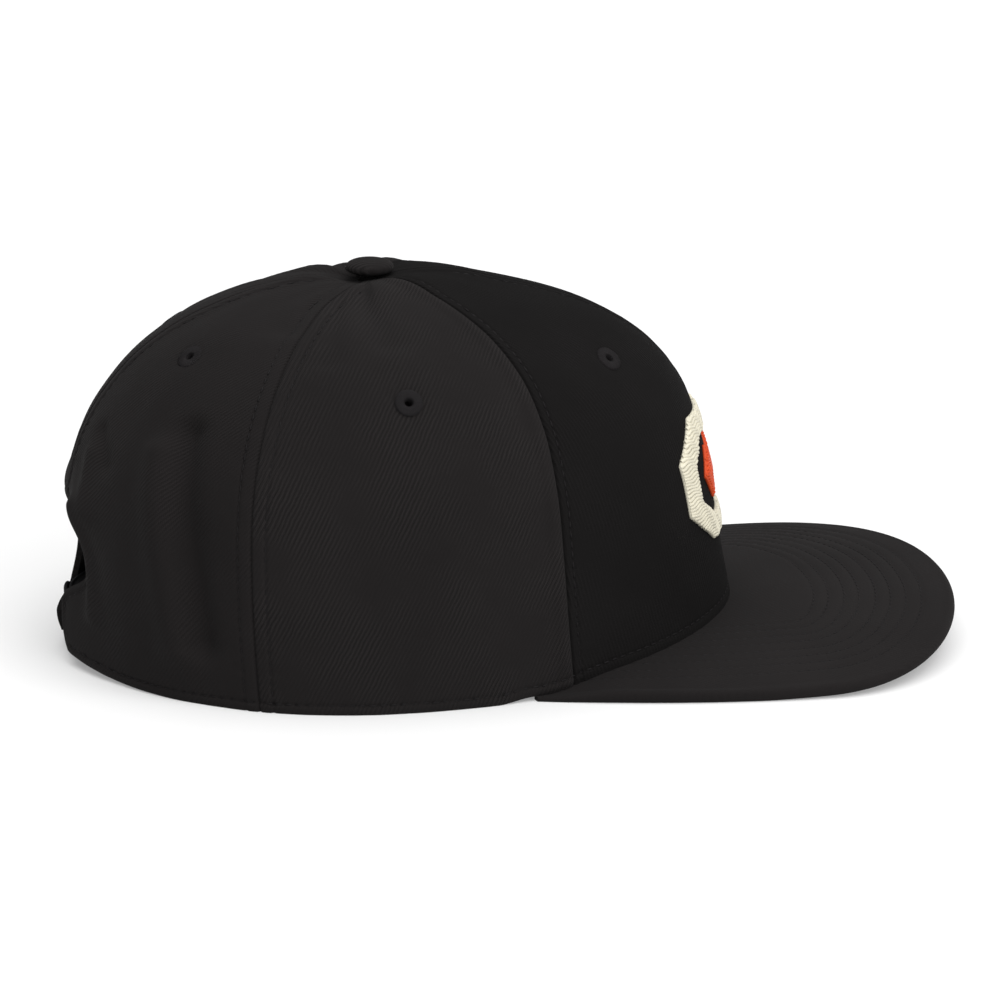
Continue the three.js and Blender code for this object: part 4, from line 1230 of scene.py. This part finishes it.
class CAP_OT_strap(bpy.types.Operator):
    """Moulds the two halves of the snap strap, fastened"""
    bl_idname = "cap.strap"
    bl_label = "Snap strap"

    def execute(self, context):
        s = context.scene.cap_sizes
        cap = Pattern(s)
        first = -(s.snaps - 1) / 2 * s.snap_pitch
        places = [first + i * s.snap_pitch for i in range(s.snaps + 1)]
        right = self.half(s, cap, "snap_strap_right_band", 1, cap.layer)
        hole = rod(s.peg_radius + 0.35, 2.6)
        bored(right, [self.turned(s, cap, "snap_cutter", hole, place, cap.layer) for place in places])
        fit(right, "strap_plastic", "snap_strap_right")
        left = self.half(s, cap, "snap_strap_left_band", -1, -cap.layer)
        fit(left, "strap_plastic", "snap_strap_left")
        for k, place in enumerate(places):
            peg = self.turned(s, cap, f"snap_peg_{k + 1}", self.peg_profile(s), -place, -cap.layer)
            fit(peg, "strap_plastic")
        return {"FINISHED"}

    def peg_profile(self, s):
        """A peg with a waist and a rounded head."""
        r, half = s.peg_radius, s.strap_thickness / 2
        tip = half + GAP + s.strap_thickness + 0.25
        return [(0, 0.2), (r * 1.15, 0.2), (r * 0.9, half + 0.25), (r * 0.82, tip - 0.85), (r, tip - 0.6),
                (r, tip - 0.3), (r * 0.8, tip - 0.06), (r * 0.4, tip), (0, tip)]

    def turned(self, s, cap, name, profile, place, layer):
        """A turned shape on the middle line of the strap, at a distance along it."""
        angle = self.angle_at(cap, place)
        centre = cap.strap(angle, layer, s.strap_bottom + s.strap_height / 2)
        return lathe(name, profile, centre, self.way_out(cap, angle), 28)

    def angle_at(self, cap, place):
        """Angle from the rear middle for a distance along the strap."""
        angles = np.linspace(0, math.radians(40), 800)
        run = lengths(cap.strap(angles, 0.0, 0.0))
        return float(np.sign(place) * np.interp(abs(place), run, angles))

    def way_out(self, cap, angle):
        """The way the face of the strap looks."""
        step = 0.01
        along = cap.strap(np.array(angle + step), 0, 0) - cap.strap(np.array(angle - step), 0, 0)
        out = np.array([along[1], -along[0], 0.0])
        return out / np.linalg.norm(out) * (1 if out[1] > 0 else -1)

    def half(self, s, cap, name, side, layer):
        """One half: a band with round edges, a shallow panel along its face and a rounded end."""
        start, end = side * s.strap_root, -side * self.angle_at(cap, s.strap_overlap)
        share = np.linspace(0, 1, 150)
        angle = start + (end - start) * share
        tongue = (1 - np.sqrt(np.maximum(0, 1 - smooth(0.9, 1.0, share) ** 2 * 0.98))) * 0.34 * s.strap_height
        low, high = s.strap_bottom + tongue, s.strap_bottom + s.strap_height - tongue
        half, sunk = s.strap_thickness / 2, s.strap_thickness / 2 - 0.22
        bends = np.radians(np.linspace(0, 90, 7))
        edge = [(half * (1 - math.cos(a)), half * math.sin(a)) for a in bends] + [(1.5, half), (2.2, sunk)]
        rows = [(low + inward, out) for inward, out in edge] + [((low + high) / 2, sunk)]
        rows += [(high - inward, out) for inward, out in edge[::-1]]
        outer = [cap.strap(angle, layer + out, z) for z, out in rows]
        inner = [cap.strap(angle, layer - out, z) for z, out in rows[1:-1]][::-1]
        loops = np.stack(outer + inner, 1)
        ring = loops.shape[1]
        band = mesh_object(name, loops, grid_faces(len(angle), ring, wrap=True), None, 50)
        build = bmesh.new()
        build.from_mesh(band.data)
        build.verts.ensure_lookup_table()
        for base in (0, (len(angle) - 1) * ring):
            build.faces.new([build.verts[base + k] for k in range(ring)])
        bmesh.ops.triangulate(build, faces=[f for f in build.faces if len(f.verts) > 4])
        bmesh.ops.recalc_face_normals(build, faces=build.faces)
        build.to_mesh(band.data)
        build.free()
        return band


class CAP_OT_badge(bpy.types.Operator):
    """Embroiders the badge on the two front panels"""
    bl_idname = "cap.badge"
    bl_label = "Badge"

    def execute(self, context):
        s = context.scene.cap_sizes
        cap = Pattern(s)
        self.border(s, cap)
        for diamond in DIAMONDS:
            self.diamond(s, cap, diamond)
        return {"FINISHED"}

    def half_at(self, up, half_width, half_height, cut):
        """Half the width of a rectangle with cut corners, at a height from its middle."""
        return half_width - np.maximum(0, np.abs(up) - (half_height - cut))

    def border(self, s, cap):
        band = s.badge_band
        cut_in = s.badge_cut - band * (2 - math.sqrt(2))
        lines = []
        for up in np.arange(-s.badge_half_height + 0.6, s.badge_half_height - 0.3, 1.25):
            wide = float(self.half_at(up, s.badge_half_width, s.badge_half_height, s.badge_cut))
            spans = [(-wide, wide)]
            if abs(up) < s.badge_half_height - band:
                near = float(self.half_at(up, s.badge_half_width - band, s.badge_half_height - band, cut_in))
                spans = [(-wide, -near), (near, wide)]
            for left, right in spans:
                lines.append(self.thread(s, cap, left, right, up,
                                         lambda x, y: self.border_depth(s, x, y, cut_in)))
        for inset, cut in ((0.25, s.badge_cut), (band - 0.25, cut_in)):
            lines.append(self.edging(s, cap, self.cut_rectangle(
                s.badge_half_width - inset, s.badge_half_height - inset, cut)))
        self.lay("badge_border_thread", lines, 0.66, "cream_thread")
        base = self.border_pad(s, cap, cut_in)
        fit(base, "cream_thread", "badge_border")

    def inside(self, x, y, half_width, half_height, cut):
        """How far a point lies inside a rectangle with cut corners."""
        corner = (half_width + half_height - cut - np.abs(x) - np.abs(y)) / math.sqrt(2)
        return np.minimum(np.minimum(half_width - np.abs(x), half_height - np.abs(y)), corner)

    def border_depth(self, s, x, y, cut_in):
        """0 at the edges of the border, 1 along its middle."""
        band = s.badge_band
        outer = self.inside(x, y, s.badge_half_width, s.badge_half_height, s.badge_cut)
        inner = self.inside(x, y, s.badge_half_width - band, s.badge_half_height - band, cut_in)
        return np.clip(np.minimum(outer, -inner) / (band / 2), 0, 1)

    def on_front(self, s, cap, x, y, above):
        """A line on the front of the crown, from the middle of the badge, and the way out of it."""
        line = cap.front(x, s.badge_centre + y, above)
        out = cap.front(x, s.badge_centre + y, above + 1) - line
        return line, out / np.linalg.norm(out, axis=-1, keepdims=True)

    def thread(self, s, cap, left, right, up, depth):
        """One thread of the fill: it wanders in a slow wave and dips at both ends."""
        count = max(6, int((right - left) / 0.7))
        x = np.linspace(left, right, count)
        y = up + 0.42 * np.sin(2 * math.pi * x / 6.4 + 0.5 * up) + 0.1 * speckle(x, 0 * x + up * 7, 2.5, 51)
        ends = np.minimum(np.arange(count), np.arange(count)[::-1]) * (right - left) / (count - 1)
        above = 0.25 + (s.badge_rise * 0.45 + 0.25 * np.sqrt(depth(x, y))) * smooth(-0.4, 0.9, ends)
        return self.on_front(s, cap, x, y, above)

    def edging(self, s, cap, outline):
        """A cord of thread along an outline, closed on itself."""
        loop = np.concatenate([outline, outline[:2]])
        share = np.linspace(0, len(loop) - 1, 3 * len(loop))
        x = np.interp(share, np.arange(len(loop)), loop[:, 0])
        y = np.interp(share, np.arange(len(loop)), loop[:, 1])
        return self.on_front(s, cap, x, y, np.full(len(x), 0.3))

    def lay(self, name, lines, radius, slot):
        """Lays threads of a radius along lines, as one piece."""
        piece = lines_object(name, lines)
        grown(piece, thread_tree(), {"Radius": radius * MM, "Sides": 8, "Material": material_for(slot)})
        return fit(piece, slot)

    def border_pad(self, s, cap, cut_in):
        """The padding under the border's threads."""
        outer = self.cut_rectangle(s.badge_half_width - 0.3, s.badge_half_height - 0.3, s.badge_cut)
        inside = s.badge_band - 0.3
        inner = self.cut_rectangle(s.badge_half_width - inside, s.badge_half_height - inside, cut_in)
        share = np.linspace(0, 1, 7)
        at = outer[:, None] + (inner - outer)[:, None] * share[None, :, None]
        x, y = at[..., 0], s.badge_centre + at[..., 1]
        face = cap.front(x, y, 0.3 + 0.5 * np.sin(math.pi * share)[None] + 0 * x)
        back = cap.front(x, y, 0 * x)
        loops = np.concatenate([face, back[:, ::-1]], 1)
        rows, size = loops.shape[:2]
        index = np.arange(rows * size).reshape(rows, size)
        nxt = np.roll(index, -1, 0)
        faces = np.stack([index, np.roll(index, -1, 1), np.roll(nxt, -1, 1), nxt], -1).reshape(-1, 4)
        return mesh_object("badge_border_pad", loops, faces, None, 50)

    def cut_rectangle(self, half_width, half_height, cut):
        """Points round a rectangle with cut corners, as many on each side whatever its size."""
        x, y = half_width, half_height
        corners = [(x, -(y - cut)), (x, y - cut), (x - cut, y), (-(x - cut), y),
                   (-x, y - cut), (-x, -(y - cut)), (-(x - cut), -y), (x - cut, -y)]
        splits = (8, 8, 26, 8, 8, 8, 26, 8)
        points = []
        for k, (a, split) in enumerate(zip(corners, splits)):
            b = corners[(k + 1) % 8]
            points += [(a[0] + (b[0] - a[0]) * i / split, a[1] + (b[1] - a[1]) * i / split)
                       for i in range(split)]
        return np.array(points)

    def diamond(self, s, cap, diamond):
        """One diamond: its threads, a cord round them and the padding under them."""
        across, w, h = diamond["across"], diamond["half_width"], diamond["half_height"]

        def depth(x, y):
            return np.clip(1 - np.abs(x - across) / w - np.abs(y) / h, 0, 1)
        lines = []
        for up in np.arange(-h + 0.8, h - 0.6, 1.15):
            half = w * (1 - abs(up) / h) - 0.3
            if half > 0.5:
                lines.append(self.thread(s, cap, across - half, across + half, up, depth))
        name = f"badge_diamond_{diamond['name']}"
        sides = np.array([(w, 0), (0, h), (-w, 0), (0, -h), (w, 0)]) * (1 - 0.3 / w)
        share = np.linspace(0, 4, 48, endpoint=False)
        rim = np.stack([np.interp(share, np.arange(5), sides[:, k]) for k in (0, 1)], -1) + (across, 0)
        lines.append(self.edging(s, cap, rim))
        self.lay(f"{name}_thread", lines, 0.58, "orange_thread")
        rows = np.linspace(-0.97, 0.97, 15)
        places = np.linspace(-1, 1, 9)
        width = (w - 0.2) * (1 - np.abs(rows))
        x = across + width[:, None] * places
        y = np.repeat(rows[:, None] * h, len(places), 1)
        face = cap.front(x, s.badge_centre + y, 0.35 + 0.4 * (1 - np.abs(places))[None] + 0 * x)
        back = cap.front(x, s.badge_centre + y, 0 * x)
        fit(shell(f"{name}_pad", face, back), "orange_thread", name)


class CAP_OT_stage(bpy.types.Operator):
    """Sets the pale table, the soft lights and the camera"""
    bl_idname = "cap.stage"
    bl_label = "Stage"

    def execute(self, context):
        scene = context.scene
        cap = Pattern(scene.cap_sizes)
        scene.view_settings.view_transform = "Standard"
        scene.view_settings.look = "None"
        self.table(scene)
        self.world(scene)
        self.lamps(scene)
        self.camera(scene, cap)
        return {"FINISHED"}

    def table(self, scene):
        """A wide painted table that glows a little, so that it reads as white."""
        half = 6
        mesh = bpy.data.meshes.new("table")
        mesh.from_pydata([(-half, -half, 0), (half, -half, 0), (half, half, 0), (-half, half, 0)], [],
                         [(0, 1, 2, 3)])
        obj = bpy.data.objects.new("table", mesh)
        scene.collection.objects.link(obj)
        material, tree, main = shader("painted_table", 0.9, 0.0, 0.0)
        place = add(tree, "ShaderNodeTexCoord").outputs["Object"]
        tone = ramp(tree, noise(tree, place, 3.0, 2.0), 0.0, 1.0, 0.98, 1.0)
        painted(tree, main, tuple(scene.cap_colours.table), tone)
        main.inputs["Emission Color"].default_value = (1, 1, 1, 1)
        main.inputs["Emission Strength"].default_value = 0.27
        obj.data.materials.append(material)

    def world(self, scene):
        """Even light from all round."""
        world = bpy.data.worlds.new("studio")
        world.use_nodes = True
        back = next(n for n in world.node_tree.nodes if n.type == "BACKGROUND")
        back.inputs["Color"].default_value = (1, 1, 1, 1)
        back.inputs["Strength"].default_value = 0.3
        scene.world = world

    def lamps(self, scene):
        """Two wide soft lights: one overhead, the main one before the cap and to its right."""
        for name, energy, way in LAMPS:
            lamp = bpy.data.lights.new(name, "SUN")
            lamp.energy = energy
            lamp.angle = math.radians(70)
            obj = bpy.data.objects.new(name, lamp)
            scene.collection.objects.link(obj)
            obj.rotation_euler = Vector(way).to_track_quat("Z", "Y").to_euler()

    def camera(self, scene, cap):
        """Seen from the wearer's right, a little from behind and above, through a long lens."""
        azimuth, elevation = math.radians(-100.4), math.radians(15.45)
        distance, scale, width = 1200.0, 3.22, 1000.0
        seen_at = (493.7, 474.6)
        target = Vector((0, -40 + cap.shift, 50))
        back = Vector((math.sin(azimuth) * math.cos(elevation), -math.cos(azimuth) * math.cos(elevation),
                       math.sin(elevation)))
        data = bpy.data.cameras.new("camera")
        data.sensor_fit = "HORIZONTAL"
        data.sensor_width = 36.0
        data.lens = scale * distance / width * data.sensor_width
        data.shift_x = (width / 2 - seen_at[0]) / width
        data.shift_y = -(width / 2 - seen_at[1]) / width
        data.clip_end = 50
        obj = bpy.data.objects.new("camera", data)
        scene.collection.objects.link(obj)
        obj.location = (target + back * distance) * MM
        obj.rotation_euler = back.to_track_quat("Z", "Y").to_euler()
        scene.camera = obj


class CAP_PT_panel(bpy.types.Panel):
    """Lists the cap's pieces and its sizes and colours"""
    bl_idname = "CAP_PT_panel"
    bl_label = "Snapback cap"
    bl_space_type = "VIEW_3D"
    bl_region_type = "UI"
    bl_category = "Cap"

    def draw(self, context):
        layout = self.layout
        for step in STEPS:
            layout.operator(step.bl_idname, text=step.bl_label)
        for title, group in (("Sizes", context.scene.cap_sizes), ("Colours", context.scene.cap_colours)):
            box = layout.box()
            box.label(text=title)
            for name in group.__annotations__:
                box.prop(group, name)


STEPS = (CAP_OT_stage, CAP_OT_crown, CAP_OT_stitches, CAP_OT_button, CAP_OT_eyelets, CAP_OT_peak,
         CAP_OT_strap, CAP_OT_badge)
CLASSES = (CapSizes, CapColours) + STEPS + (CAP_PT_panel,)


def register():
    for cls in CLASSES:
        bpy.utils.register_class(cls)
    bpy.types.Scene.cap_sizes = PointerProperty(type=CapSizes)
    bpy.types.Scene.cap_colours = PointerProperty(type=CapColours)


def unregister():
    del bpy.types.Scene.cap_colours
    del bpy.types.Scene.cap_sizes
    for cls in reversed(CLASSES):
        bpy.utils.unregister_class(cls)


def main():
    register()
    for step in STEPS:
        group, name = step.bl_idname.split(".")
        getattr(getattr(bpy.ops, group), name)()
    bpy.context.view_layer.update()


if __name__ == "__main__":
    main()
